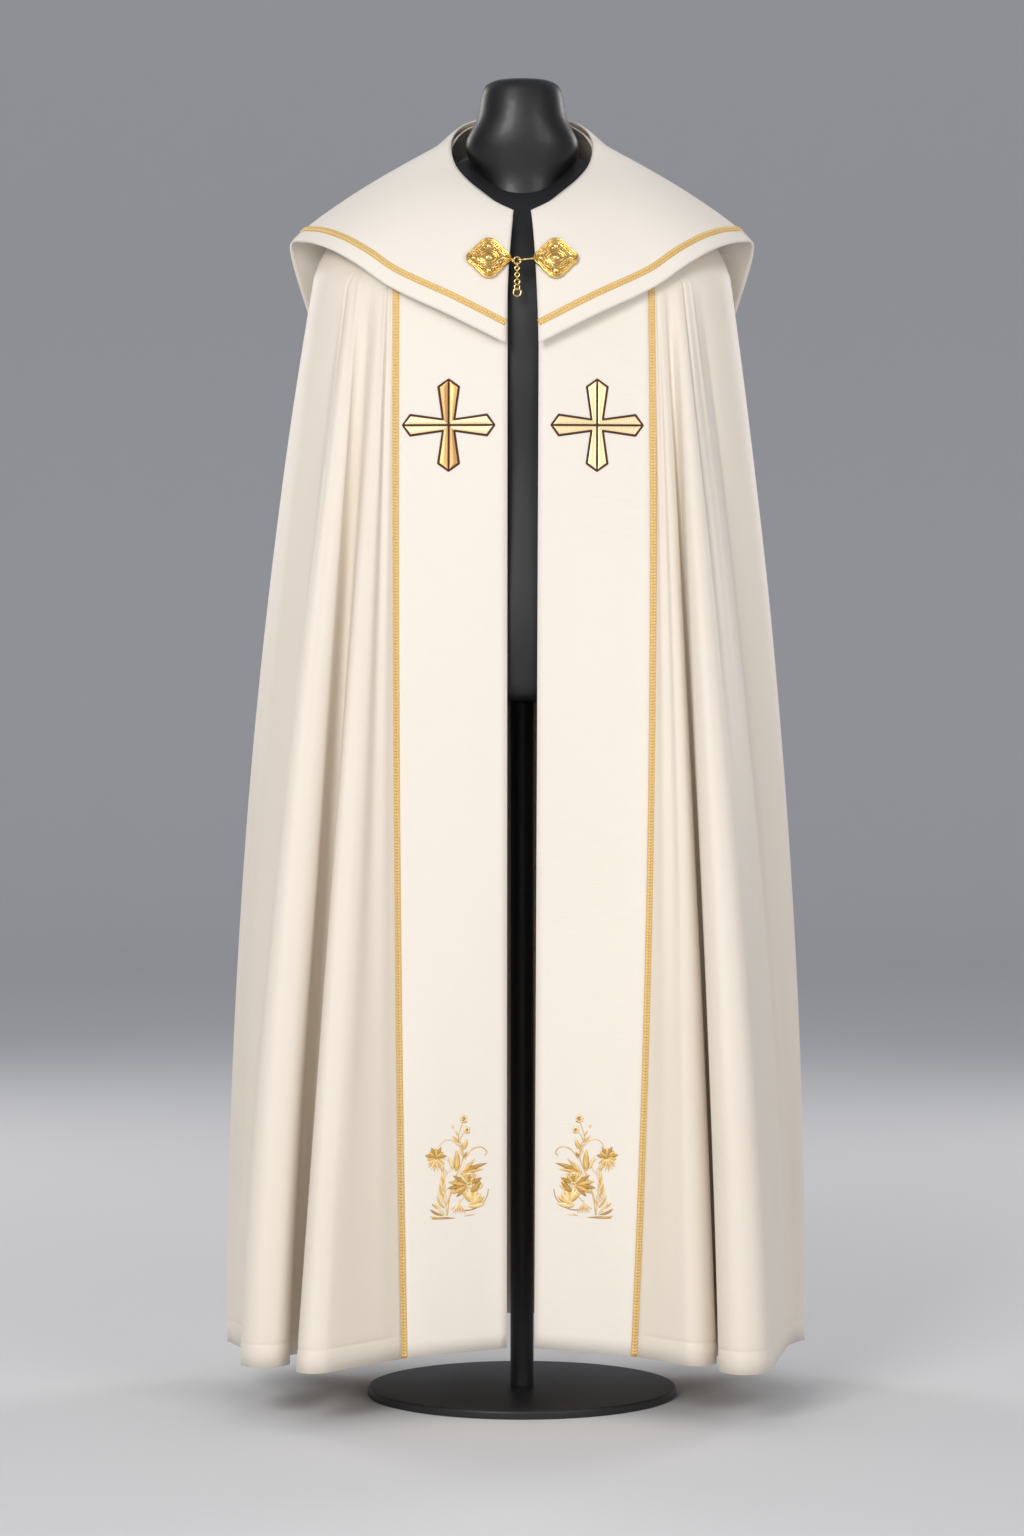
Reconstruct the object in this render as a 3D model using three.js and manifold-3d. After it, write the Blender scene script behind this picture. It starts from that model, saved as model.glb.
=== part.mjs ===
// A cope (a priest's ceremonial cloak) closed by a clasp, on a dress form.
// Millimetres, +Z up. The front faces -Y and the wearer's right is at -X.
// The origin is on the floor, at the centre of the stand's base.
import * as THREE from 'three';
import { mergeVertices } from 'three/addons/utils/BufferGeometryUtils.js';
import Module from 'manifold-3d';

const wasm = await Module();
wasm.setup();

// Cloth and heights
const clothWall = 2;
const orphreyWall = 2.5;
const collarWall = 2.5;
const seamGap = 0.3;
const hemHeight = 63;
const shoulderHeight = 1321;

// Where the mantle leaves the shoulders, seen from above: a rounded oval
const shoulder = { halfWidth: 252, front: 104, back: 132, roundness: 2.4 };

// The cloth's path round the hem, from the right front edge by the back to the left one.
// x, y: centre of the bend. bend: its radius, + a ridge, - a valley, 0 an edge or a seam.
// hangs: turn on the shoulder oval that it falls from, from the front towards the right.
// spread: how early it reaches its place on the way down (1 = straight). lift: hem above the lowest.
// bow: how far it stands off to the left (+) or right (-) halfway down.
const hemPath = table(['x', 'y', 'bend', 'hangs', 'spread', 'lift', 'bow'], {
  rightEdge: [-18, -122, 0, 2.3, 1, 10, 0],
  rightSeam: [-137, -160, 0, 32, 1, 4, -4],
  rightFlap: [-236, -228, 22, 37.5, 1, 0, -1],
  rightPleat: [-258, -130, -14, 42, 1.1, 2, 0],
  rightTube: [-296, -178, 28, 49, 1.35, 0, 0],
  rightCleft: [-340, -88, -22, 54, 1.4, 0, 0],
  rightSide: [-322, 12, 33, 86, 2.1, -2, 0],
  rightBackValley: [-318, 95, -16, 102, 1.8, 0, 0],
  backOne: [-300, 165, 30, 117, 1.7, 0, 0],
  valleyOne: [-232, 190, -16, 130, 1.5, 4, 0],
  backTwo: [-178, 186, 30, 143, 1.4, 0, 0],
  valleyTwo: [-119, 212, -18, 156, 1.3, 4, 0],
  backThree: [-60, 204, 31, 168, 1.3, 0, 0],
  valleyThree: [1, 216, -16, 180, 1.3, 4, 0],
  backFour: [59, 200, 30, 191, 1.3, 0, 0],
  valleyFour: [121, 209, -17, 204, 1.3, 4, 0],
  backFive: [184, 188, 31, 217, 1.4, 0, 0],
  valleyFive: [243, 184, -15, 230, 1.5, 4, 0],
  backSix: [292, 160, 29, 243, 1.7, 0, 0],
  leftBackValley: [322, 98, -16, 258, 1.8, 0, 0],
  leftSide: [309, 26, 32, 274, 2.1, -2, 0],
  leftCleft: [330, -42, -14, 307, 1.5, 0, 0],
  leftTube: [252, -226, 30, 317, 1.3, 0, 0],
  leftPleat: [222, -138, -10, 321, 1.1, 2, 0],
  leftFlap: [200, -178, 24, 323.5, 1, 1, 3],
  leftSeam: [130, -148, 0, 327, 1, 4, 10],
  leftEdge: [14, -122, 0, 357.3, 1, 10, 0],
});

// How finely the path is cut: the turn between points of an arc, and the run that gets a point halfway
const arcStep = 45 * Math.PI / 180;
const longRun = 75;

// Levels of the cloth: parts of the way over the shoulder, then parts of the way down to the hem
const yokeLevels = [0, 0.18, 0.4, 0.62, 0.82];
const fallLevels = [0, 0.06, 0.14, 0.25, 0.4, 0.58, 0.78, 1];

// The neckline's edge, from the front (turn 0) to the middle of the back (turn 180), left as right
const neckline = table(['turn', 'x', 'y', 'z'], {
  frontEdge: [4, 10, -77, 1408],
  throat: [25, 34, -69, 1421],
  frontQuarter: [48, 60, -49, 1444],
  sideFront: [72, 80, -18, 1472],
  side: [95, 85, 14, 1505],
  backQuarter: [125, 70, 44, 1530],
  nape: [155, 36, 66, 1542],
  back: [180, 0, 72, 1545],
});

// The cape collar's lower edge, over the same turns
const collarEdge = table(['turn', 'x', 'y', 'z'], {
  frontCorner: [4, 19, -121, 1246],
  chest: [24, 84, -117, 1279],
  armFront: [46, 155, -104, 1314],
  armCurve: [60, 195, -90, 1343],
  shoulderFront: [72, 230, -66, 1365],
  shoulderSide: [84, 263, -30, 1378],
  tip: [94, 279, 5, 1374],
  tipBack: [104, 264, 56, 1315],
  bladeSide: [120, 243, 106, 1262],
  blade: [140, 184, 152, 1196],
  shield: [161, 96, 178, 1138],
  point: [180, 0, 187, 1106],
});
const collarTurns = { from: 4, to: 356, steps: 44 };
const collarLevels = [0, 0.1, 0.24, 0.4, 0.56, 0.72, 0.86, 1];

// Over the shoulder the mantle and orphreys lie under the collar, this far below its outer face.
// turns: where the sheet's edges, seams and back lie at the neck and at the collar's edge
const yoke = { ease: 6.5, settle: 3, reachFront: 0.6, reachSide: 0.84 };
const yokeTurns = table(['hangs', 'neck', 'edge'], {
  frontEdge: [2.3, 4, 4],
  seam: [32, 68, 45],
  side: [90, 100, 93],
  back: [180, 180, 180],
});

// Gold braid. startsAt: the cloth's row where the seams' braids begin, under the collar.
// outerPart: the part of the collar's fall, from here to its edge, that the distance is measured on
const galloon = { width: 8, thickness: 1.2, gap: 1, fromCollarEdge: 23, startsAt: 2, outerPart: 0.4 };

// Embroidery on the orphreys. Across is from the front edge, height from the floor
const embroideryGap = 0.6;
const cross = {
  across: 69, height: 1152, reach: 53.5, inner: 6.5, outer: 12, point: 8.5, wall: 1, line: 2.2, outline: 0.8,
};
// The two windows in an arm's outline: how far they keep from its sides near the middle, its
// shoulders and its point, as parts of the line's width and the point's height
const crossWindow = { middle: 0.55, shoulder: 0.36, point: 0.35 };
const spray = { across: 58, height: 286, wall: 0.9, gap: 1.5 };
// A leaf's half foot, and where along its length its two sides bulge
const leafShape = { foot: 0.4, underside: 0.55, upperside: 0.45 };

// Clasp: a plaque on each side of the collar, the right one's eye, the left one's hook
const plaque = { turn: 13.4, part: 0.54, wall: 3, rim: 2.4, rimRise: 1.4, gap: 1.9, tip: 23.5 };
const lobes = table(['x', 'y', 'radius'], {
  middle: [0, 0, 21.5],
  top: [0, 13, 12.4],
  bottom: [0, -13, 12.4],
  outer: [17.5, 0, 9.3],
  inner: [-17.5, 0, 9.3],
});
const boss = { halfWidth: 8, halfHeight: 5.5, rise: 4.5, petal: 4.2, petalReach: 14, sunk: 0.4 };
const eye = { x: -6, y: -118, z: 1343, radius: 4, wire: 1, stalk: 1.7, knuckle: 2.2 };
const hook = { wire: 1.1, clear: 2.5, over: 0.8 };
const link = { radius: 3.2, wire: 0.8, play: 0.3 };
const chain = { small: 2.5, loop: 3, endRing: 4.4, endWire: 1, grip: 1.2 };

// Dress form: half width, front and back reach at each height
const torsoRings = table(['z', 'halfWidth', 'front', 'back'], {
  bottom: [830, 146, 84, 96],
  bottomRound: [842, 162, 94, 108],
  hip: [930, 172, 99, 116],
  waist: [1100, 146, 86, 96],
  ribs: [1220, 164, 92, 104],
  chest: [1310, 184, 92, 110],
  arm: [1365, 187, 76, 104],
  shoulderCap: [1402, 174, 59, 96],
  shoulderTop: [1435, 148, 37, 88],
  shoulderRidge: [1460, 110, 17, 76],
  neckSide: [1479, 73, 0, 62],
  neckInside: [1487, 56, -2, 52],
});
const neckRings = table(['z', 'halfWidth', 'front', 'back'], {
  inTorso: [1400, 44, 40, 60],
  throat: [1450, 50, 38, 62],
  flare: [1494, 68, 49, 60],
  column: [1528, 54, 51, 54],
  upper: [1556, 49, 48, 50],
  round: [1567, 44, 44, 45],
  top: [1571, 37, 37, 38],
});
const formSides = 26;
const formRoundness = 2.2;
const formRingStep = 45;
const pole = { radius: 14, sides: 24 };
const base = { radius: 185, height: 10, edge: 3, sides: 48 };

function table(columns, rows) {
  return Object.values(rows).map((row) => Object.fromEntries(columns.map((name, i) => [name, row[i]])));
}

const degrees = Math.PI / 180;
const mix = (a, b, part) => a + (b - a) * part;
const mixPoint = (a, b, part) => a.clone().lerp(b, part);

// A smooth curve through one column of a table, read at a place on its key column
function read(rows, key, column, at) {
  const last = rows.length - 1;
  const i = Math.min(Math.max(rows.findIndex((row) => row[key] > at) - 1, 0), last - 1);
  const start = at >= rows[last][key] ? last - 1 : i;
  const slopeAt = (n) => {
    const before = rows[Math.max(n - 1, 0)];
    const after = rows[Math.min(n + 1, last)];
    return (after[column] - before[column]) / (after[key] - before[key]);
  };
  const span = rows[start + 1][key] - rows[start][key];
  const t = (at - rows[start][key]) / span;
  const [t2, t3] = [t * t, t * t * t];
  return (2 * t3 - 3 * t2 + 1) * rows[start][column]
    + (t3 - 2 * t2 + t) * span * slopeAt(start)
    + (3 * t2 - 2 * t3) * rows[start + 1][column]
    + (t3 - t2) * span * slopeAt(start + 1);
}

// A point of a left-and-right alike ring table, at any turn from 0 to 360, right side first
function ringPoint(rows, turn) {
  const half = turn <= 180 ? turn : 360 - turn;
  const side = turn <= 180 ? -1 : 1;
  const [x, y, z] = ['x', 'y', 'z'].map((column) => read(rows, 'turn', column, half));
  return new THREE.Vector3(side * x, y, z);
}

// ---- Meshes

const cope = new THREE.Group();
cope.name = 'cope_on_dress_form';

function addPiece(name, geometry, finish) {
  const mesh = new THREE.Mesh(geometry, finish);
  mesh.name = name;
  cope.add(mesh);
  return mesh;
}

function geometryOf(points, triangles) {
  const geometry = new THREE.BufferGeometry();
  const numbers = points.flatMap((p) => [p.x, p.y, p.z]);
  geometry.setAttribute('position', new THREE.Float32BufferAttribute(numbers, 3));
  geometry.setIndex(triangles.flat());
  geometry.computeVertexNormals();
  return geometry;
}

// Outward directions on a grid of points: columns run clockwise from above, rows run down
function gridNormals(grid) {
  return grid.map((row, r) => row.map((point, c) => {
    const alongRow = row[Math.min(c + 1, row.length - 1)].clone().sub(row[Math.max(c - 1, 0)]);
    const down = grid[Math.min(r + 1, grid.length - 1)][c].clone().sub(grid[Math.max(r - 1, 0)][c]);
    return alongRow.cross(down).normalize();
  }));
}

// A closed wall between an outer and an inner grid of points
function wallGeometry(outer, inner) {
  const rows = outer.length;
  const columns = outer[0].length;
  const points = [...outer.flat(), ...inner.flat()];
  const at = (r, c) => r * columns + c;
  const under = (r, c) => rows * columns + at(r, c);
  const triangles = [];
  const quad = (a, b, c, d) => triangles.push([a, b, c], [a, c, d]);
  for (let r = 0; r < rows - 1; r++) {
    for (let c = 0; c < columns - 1; c++) {
      quad(at(r, c), at(r, c + 1), at(r + 1, c + 1), at(r + 1, c));
      quad(under(r, c), under(r + 1, c), under(r + 1, c + 1), under(r, c + 1));
    }
    quad(at(r, 0), at(r + 1, 0), under(r + 1, 0), under(r, 0));
    quad(at(r, columns - 1), under(r, columns - 1), under(r + 1, columns - 1), at(r + 1, columns - 1));
  }
  for (let c = 0; c < columns - 1; c++) {
    quad(at(0, c), under(0, c), under(0, c + 1), at(0, c + 1));
    quad(at(rows - 1, c), at(rows - 1, c + 1), under(rows - 1, c + 1), under(rows - 1, c));
  }
  return geometryOf(points, triangles);
}

const moved = (grid, normals, distance) => grid.map((row, r) => row.map(
  (point, c) => point.clone().addScaledVector(normals[r][c], distance)));

function toSolid(geometry) {
  const bare = geometry.clone();
  bare.deleteAttribute('normal');
  bare.deleteAttribute('uv');
  const merged = mergeVertices(bare, 1e-4);
  return new wasm.Manifold(new wasm.Mesh({
    numProp: 3,
    vertProperties: new Float32Array(merged.attributes.position.array),
    triVerts: new Uint32Array(merged.index.array),
  }));
}

function toGeometry(solid) {
  const mesh = solid.getMesh();
  const geometry = new THREE.BufferGeometry();
  geometry.setAttribute('position', new THREE.Float32BufferAttribute(mesh.vertProperties, 3));
  geometry.setIndex(Array.from(mesh.triVerts));
  geometry.computeVertexNormals();
  return geometry;
}

const joined = (geometries) => geometries.map(toSolid).reduce((whole, piece) => whole.add(piece));

// ---- The cape collar's surface

// A rounded fall from one point out and down to another: level at first, steep at the end
function fall(from, to, part, bend) {
  const out = 1 - (1 - part) ** bend;
  return new THREE.Vector3(mix(from.x, to.x, out), mix(from.y, to.y, out), mix(from.z, to.z, part ** bend));
}

const collarBend = (turn) => 1.15 + 0.2 * Math.cos(turn * degrees) ** 2;
const collarPoint = (turn, part) => fall(
  ringPoint(neckline, turn), ringPoint(collarEdge, turn), part, collarBend(turn));

function collarNormal(turn, part) {
  const [turnStep, partStep] = [0.5, 0.02];
  const around = collarPoint(turn + turnStep, part).sub(collarPoint(turn - turnStep, part));
  const down = collarPoint(turn, part + partStep).sub(collarPoint(turn, Math.max(part - partStep, 0)));
  return around.cross(down).normalize();
}

// ---- The mantle and the orphreys: one sheet, parted at the seams

// Points round the hem: arcs round the bends, joined by their common tangents
function hemPoints(rows) {
  const headings = rows.slice(0, -1).map((row, i) => {
    const next = rows[i + 1];
    const distance = Math.hypot(next.x - row.x, next.y - row.y);
    return Math.atan2(next.y - row.y, next.x - row.x) + Math.asin((next.bend - row.bend) / distance);
  });
  const points = [];
  rows.forEach((row, i) => {
    const arrive = headings[Math.max(i - 1, 0)];
    const leave = headings[Math.min(i, headings.length - 1)];
    const full = 2 * Math.PI;
    const turned = row.bend > 0
      ? -((arrive - leave + 2 * full) % full)
      : (leave - arrive + 2 * full) % full;
    const steps = row.bend === 0 ? 0 : Math.max(2, Math.round(Math.abs(turned) / arcStep));
    const arc = Array.from({ length: steps + 1 }, (_, k) => {
      const heading = arrive + (steps ? turned * k / steps : 0);
      return {
        x: row.x - row.bend * Math.sin(heading),
        y: row.y + row.bend * Math.cos(heading),
        row: i,
        middle: k === Math.ceil(steps / 2),
      };
    });
    const previous = points[points.length - 1];
    if (previous && Math.hypot(arc[0].x - previous.x, arc[0].y - previous.y) > longRun) {
      const halfway = { x: (previous.x + arc[0].x) / 2, y: (previous.y + arc[0].y) / 2 };
      points.push({ ...halfway, row: i, middle: false });
    }
    points.push(...arc);
  });
  return points;
}

// Each hem point with its length along the path and the table's other columns read at it
function hemColumns(rows) {
  const points = hemPoints(rows);
  let station = 0;
  points.forEach((point, i) => {
    if (i > 0) station += Math.hypot(point.x - points[i - 1].x, point.y - points[i - 1].y);
    point.station = station;
  });
  const marks = points.filter((point) => point.middle);
  return points.map((point) => {
    const next = Math.max(1, marks.findIndex((mark) => mark.station >= point.station));
    const [a, b] = [marks[next - 1], marks[next]];
    const part = (point.station - a.station) / (b.station - a.station);
    const value = (name) => mix(rows[a.row][name], rows[b.row][name], part);
    const [hangs, spread, lift, bow] = ['hangs', 'spread', 'lift', 'bow'].map(value);
    return { ...point, hangs, spread, lift, bow };
  });
}

function shoulderPoint(turn) {
  const [across, ahead] = [Math.sin(turn * degrees), Math.cos(turn * degrees)];
  const rounded = (value) => Math.sign(value) * Math.abs(value) ** (2 / shoulder.roundness);
  const reach = ahead > 0 ? shoulder.front : shoulder.back;
  return new THREE.Vector3(-shoulder.halfWidth * rounded(across), -reach * rounded(ahead), shoulderHeight);
}

function hangingPoint(column, down) {
  const top = shoulderPoint(column.hangs);
  const out = 1 - (1 - down) ** column.spread;
  const foot = hemHeight + column.lift;
  const x = mix(top.x, column.x, out) + column.bow * 4 * down * (1 - down);
  return new THREE.Vector3(x, mix(top.y, column.y, out), mix(top.z, foot, down));
}

// Where a hem column lies on the collar's turns: at the neck (level 0) or at the collar's edge (1)
function yokeTurn(hangs, level) {
  const half = hangs <= 180 ? hangs : 360 - hangs;
  const next = Math.max(1, yokeTurns.findIndex((row) => row.hangs >= half));
  const [a, b] = [yokeTurns[next - 1], yokeTurns[next]];
  const part = (half - a.hangs) / (b.hangs - a.hangs);
  const turn = mix(mix(a.neck, b.neck, part), mix(a.edge, b.edge, part), level);
  return hangs <= 180 ? turn : 360 - turn;
}

// Over the shoulder: under the collar at first, then down to the shoulder oval
function yokePoint(column, level) {
  const side = Math.abs(Math.sin(column.hangs * degrees)) ** 2;
  const part = level * mix(yoke.reachFront, yoke.reachSide, side);
  const turn = yokeTurn(column.hangs, level);
  const under = collarPoint(turn, part).addScaledVector(collarNormal(turn, part), -yoke.ease);
  return mixPoint(under, shoulderPoint(column.hangs), level ** yoke.settle);
}

const columns = hemColumns(hemPath);
const seamRows = [1, hemPath.length - 2];
const seamAt = seamRows.map((row) => columns.findIndex((column) => column.row === row && column.middle));

// The orphreys are flat from edge to seam, so their columns lie evenly on straight lines
const orphreySteps = 4;
function orphreyGrid(edge, seam, rowsOf) {
  return rowsOf.map((rowOf) => Array.from({ length: orphreySteps + 1 },
    (_, k) => mixPoint(rowOf(edge), rowOf(seam), k / orphreySteps)));
}

const rowMakers = [
  ...yokeLevels.map((level) => (column) => yokePoint(column, level)),
  ...fallLevels.map((level) => (column) => hangingPoint(column, level)),
];
const edges = { right: columns[0], left: columns[columns.length - 1] };
const seams = { right: columns[seamAt[0]], left: columns[seamAt[1]] };
const rightBand = orphreyGrid(edges.right, seams.right, rowMakers);
const leftBand = orphreyGrid(seams.left, edges.left, rowMakers);
const mantleColumns = columns.slice(seamAt[0], seamAt[1] + 1);
const mantleBand = rowMakers.map((rowOf) => mantleColumns.map(rowOf));
const sheet = rowMakers.map((_, r) => [
  ...rightBand[r], ...mantleBand[r].slice(1, -1), ...leftBand[r],
]);
const sheetNormals = gridNormals(sheet);

// Part of the sheet as a wall; the named ends stand half a seam gap back from their neighbour
function panelGeometry(first, last, wall, gapFirst, gapLast) {
  const outer = sheet.map((row) => row.slice(first, last + 1).map((point) => point.clone()));
  const normals = sheetNormals.map((row) => row.slice(first, last + 1));
  outer.forEach((row) => {
    const end = row.length - 1;
    const inFrom = (i, j) => row[j].clone().sub(row[i]).setLength(seamGap / 2);
    const steps = [inFrom(0, 1), inFrom(end, end - 1)];
    if (gapFirst) row[0].add(steps[0]);
    if (gapLast) row[end].add(steps[1]);
  });
  return wallGeometry(outer, moved(outer, normals, -wall));
}

// Braid over a strip of the cloth's surface
function tapeGeometry(strip) {
  const normals = gridNormals(strip);
  const top = moved(strip, normals, galloon.gap + galloon.thickness);
  return wallGeometry(top, moved(strip, normals, galloon.gap));
}

// Braid over a seam: the seam's points and points to each side of it, moved out
function seamBraidGeometry(at) {
  const strip = sheet.slice(galloon.startsAt).map((row) => {
    const aside = (j) => row[j].clone().sub(row[at]).setLength(galloon.width / 2).add(row[at]);
    return [aside(at - 1), row[at].clone(), aside(at + 1)];
  });
  return tapeGeometry(strip);
}

// A flat solid (x across, y up, z out) laid on an orphrey. Side: -1 right, 1 left
function onOrphrey(side, geometry, across, height, gap) {
  const [edge, seam] = side < 0 ? [edges.right, seams.right] : [edges.left, seams.left];
  const position = geometry.attributes.position;
  for (let i = 0; i < position.count; i++) {
    const z = height + position.getY(i);
    const pointAt = (column) => hangingPoint(column,
      (shoulderHeight - z) / (shoulderHeight - hemHeight - column.lift));
    const [a, b] = [pointAt(edge), pointAt(seam)];
    const flat = b.clone().sub(a).normalize();
    const out = new THREE.Vector3(flat.y, -flat.x, 0).multiplyScalar(side);
    const point = a.addScaledVector(flat, across + side * position.getX(i));
    point.addScaledVector(out, gap + position.getZ(i));
    position.setXYZ(i, point.x, point.y, z);
  }
  return geometry;
}

// ---- The cape collar's pieces

function collarGrid(levelsAt) {
  const turns = Array.from({ length: collarTurns.steps + 1 },
    (_, i) => mix(collarTurns.from, collarTurns.to, i / collarTurns.steps));
  const perTurn = turns.map((turn) => levelsAt(turn).map((level) => collarPoint(turn, level)));
  return perTurn[0].map((_, r) => perTurn.map((points) => points[r]));
}

function collarGeometry() {
  const grid = collarGrid(() => collarLevels);
  return wallGeometry(grid, moved(grid, gridNormals(grid), -collarWall));
}

function collarBraidGeometry() {
  const braidLevels = (turn) => {
    const outer = collarPoint(turn, 1).distanceTo(collarPoint(turn, 1 - galloon.outerPart));
    const length = outer / galloon.outerPart;
    const middle = galloon.fromCollarEdge / length;
    const half = galloon.width / 2 / length;
    return [1 - middle - half, 1 - middle + half];
  };
  const strip = collarGrid(braidLevels);
  return tapeGeometry(strip);
}

// ---- Embroidery

const flatShape = (points) => new THREE.Shape(points.map(([x, y]) => new THREE.Vector2(x, y)));
const raised = (shape, depth, smooth = 4) => new THREE.ExtrudeGeometry(
  shape, { depth, bevelEnabled: false, curveSegments: smooth, steps: 1 });

// One arm of the cross, pointing up: narrow at the middle, wide near its pointed end
const armOutline = [
  [-cross.inner, 0], [-cross.outer, cross.reach - cross.point], [0, cross.reach],
  [cross.outer, cross.reach - cross.point], [cross.inner, 0],
];

function crossArms(shapeOf, depth) {
  return [0, 1, 2, 3].map((quarter) => raised(shapeOf(), depth).rotateZ(quarter * Math.PI / 2));
}

const crossFill = () => toGeometry(joined(crossArms(() => flatShape(armOutline), cross.wall)));

function crossOutline() {
  const whole = joined(crossArms(() => flatShape(armOutline), cross.outline));
  const window = (side) => flatShape([
    [side * cross.line / 2, cross.inner],
    [side * cross.line / 2, cross.reach - cross.point * crossWindow.point],
    [side * (cross.outer - cross.line), cross.reach - cross.point - cross.line * crossWindow.shoulder],
    [side * (cross.inner - cross.line * crossWindow.middle), cross.inner],
  ]);
  const windows = [-1, 1].flatMap((side) => crossArms(() => window(side), cross.wall * 3));
  windows.forEach((geometry) => geometry.translate(0, 0, -cross.wall));
  return toGeometry(windows.reduce((body, geometry) => body.subtract(toSolid(geometry)), whole));
}

// A leaf or petal from its foot, along its heading
function leaf(x, y, heading, length, width) {
  const shape = new THREE.Shape();
  shape.moveTo(0, -leafShape.foot);
  shape.quadraticCurveTo(length * leafShape.underside, -width, length, 0);
  shape.quadraticCurveTo(length * leafShape.upperside, width, 0, leafShape.foot);
  return raised(shape, spray.wall, 2).rotateZ(heading * degrees).translate(x, y, 0);
}

function disc(x, y, radius) {
  const shape = new THREE.Shape();
  shape.absarc(0, 0, radius, 0, 2 * Math.PI);
  return raised(shape, spray.wall, 4).translate(x, y, 0);
}

// A stem through a few points, as a flat ribbon
function stem(points, width) {
  const curve = new THREE.SplineCurve(points.map(([x, y]) => new THREE.Vector2(x, y)));
  const steps = points.length * 2;
  const sides = [-1, 1].map((side) => Array.from({ length: steps + 1 }, (_, i) => {
    const tangent = curve.getTangent(i / steps);
    const point = curve.getPoint(i / steps);
    return [point.x - side * tangent.y * width / 2, point.y + side * tangent.x * width / 2];
  }));
  return raised(flatShape([...sides[0], ...sides[1].reverse()]), spray.wall);
}

// Flowers: a ring of petals round a disc, over the given range of headings
function bloom(x, y, from, to, petals, length, width, heart) {
  const pieces = Array.from({ length: petals }, (_, i) => leaf(
    x, y, mix(from, to, i / (petals - 1)), length, width));
  return [...pieces, disc(x, y, heart)];
}

// The spray as it lies on the right orphrey, and its mirror image on the left one
function sprayGeometry(side) {
  const pieces = [
    stem([[-14, -57], [-11, -36], [-3, -12], [5, 8], [4, 24], [5, 52]], 2),
    stem([[-12, -44], [-20, -28], [-19, -10], [-23, 6]], 1.8),
    stem([[-8, -24], [2, -26], [12, -23]], 1.8),
    stem([[5, 10], [15, 20], [27, 21]], 1.8),
    stem([[-33, -58], [-14, -56], [6, -58]], 2.2),
    ...bloom(-23, 8, -160, -20, 7, 15, 3.8, 5),
    ...bloom(12, -22, 130, 410, 9, 21, 5.8, 5),
    disc(5.5, 54, 4.6), disc(8, 42, 3.8),
    leaf(-2.5, -10, 24, 34, 5), leaf(-1.5, -8, 40, 24, 4), leaf(-1, -6, 105, 24, 5), leaf(4, 22, 122, 13, 4),
    leaf(4, 14, 60, 16, 4), leaf(4, 26, 148, 14, 3),
    leaf(12, -30, 285, 20, 8), leaf(13, -30, 315, 22, 8), leaf(14, -28, 340, 22, 7),
    leaf(-17, -36, 150, 16, 4.4), leaf(-19, -24, 140, 14, 4.4), leaf(-13, -46, 160, 18, 4.4),
    leaf(-13, -53, 172, 20, 3.6), leaf(-13, -52, 40, 16, 3), leaf(-12, -48, 62, 15, 3),
  ];
  const flowers = joined(pieces);
  return toGeometry(side < 0 ? flowers : flowers.mirror([1, 0, 0]));
}

// ---- Clasp and its drop chain

const lobeSmoothness = 12;

function wireAlong(points, radius) {
  const path = new THREE.CatmullRomCurve3(points.map(([x, y, z]) => new THREE.Vector3(x, y, z)));
  const section = new THREE.Shape();
  section.absarc(0, 0, radius, 0, 2 * Math.PI);
  const steps = points.length * 3;
  return new THREE.ExtrudeGeometry(section, { steps, curveSegments: 4, extrudePath: path });
}

// A ring of wire round a centre; facing 'front' it lies in the XZ plane, facing 'side' in the YZ plane
function wireRing(center, radius, wire, facing) {
  const ring = new THREE.TorusGeometry(radius, wire, 5, 10);
  if (facing === 'front') ring.rotateX(Math.PI / 2);
  else ring.rotateY(Math.PI / 2);
  return ring.translate(center.x, center.y, center.z);
}

// The plaque's lobed outline, grown or shrunk, as a flat solid
function quatrefoil(grow, depth, lift) {
  return joined(lobes.map((lobe) => {
    const round = new THREE.Shape();
    round.absarc(0, 0, lobe.radius + grow, 0, 2 * Math.PI);
    return raised(round, depth, lobeSmoothness).translate(lobe.x, lobe.y, lift);
  }));
}

// Where a plaque sits on the collar: its middle and its own directions
function plaqueSeat(side) {
  const turn = side < 0 ? plaque.turn : 360 - plaque.turn;
  const out = collarNormal(turn, plaque.part);
  const across = new THREE.Vector3(0, 0, 1).cross(out).normalize();
  return { middle: collarPoint(turn, plaque.part), across, up: out.clone().cross(across), out };
}

function plaqueGeometry(side) {
  const plate = quatrefoil(0, plaque.wall, 0);
  const rim = quatrefoil(0, plaque.wall + plaque.rimRise, 0)
    .subtract(quatrefoil(-plaque.rim, plaque.wall * 2, plaque.wall / 2));
  const swell = (halfWidth, halfHeight, rise, x, y) => new THREE.SphereGeometry(1, 12, 6)
    .scale(halfWidth, halfHeight, rise).translate(x, y, plaque.wall - boss.sunk);
  const petals = [0, 1, 2, 3].map((quarter) => {
    const angle = quarter * Math.PI / 2;
    return swell(boss.petal, boss.petal, boss.rise * 0.5,
      boss.petalReach * Math.cos(angle), boss.petalReach * Math.sin(angle));
  });
  const relief = joined([swell(boss.halfWidth, boss.halfHeight, boss.rise, 0, 0), ...petals]);
  const { middle, across, up, out } = plaqueSeat(side);
  const place = new THREE.Matrix4().makeBasis(across, up, out)
    .setPosition(middle.addScaledVector(out, plaque.gap));
  return toGeometry(plate.add(rim).add(relief)).applyMatrix4(place);
}

// The inner end of a plaque, where its eye or hook springs from
function plaqueTip(side) {
  const { middle, across, out } = plaqueSeat(side);
  return middle
    .addScaledVector(across, -side * plaque.tip)
    .addScaledVector(out, plaque.gap + plaque.wall / 2);
}

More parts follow.
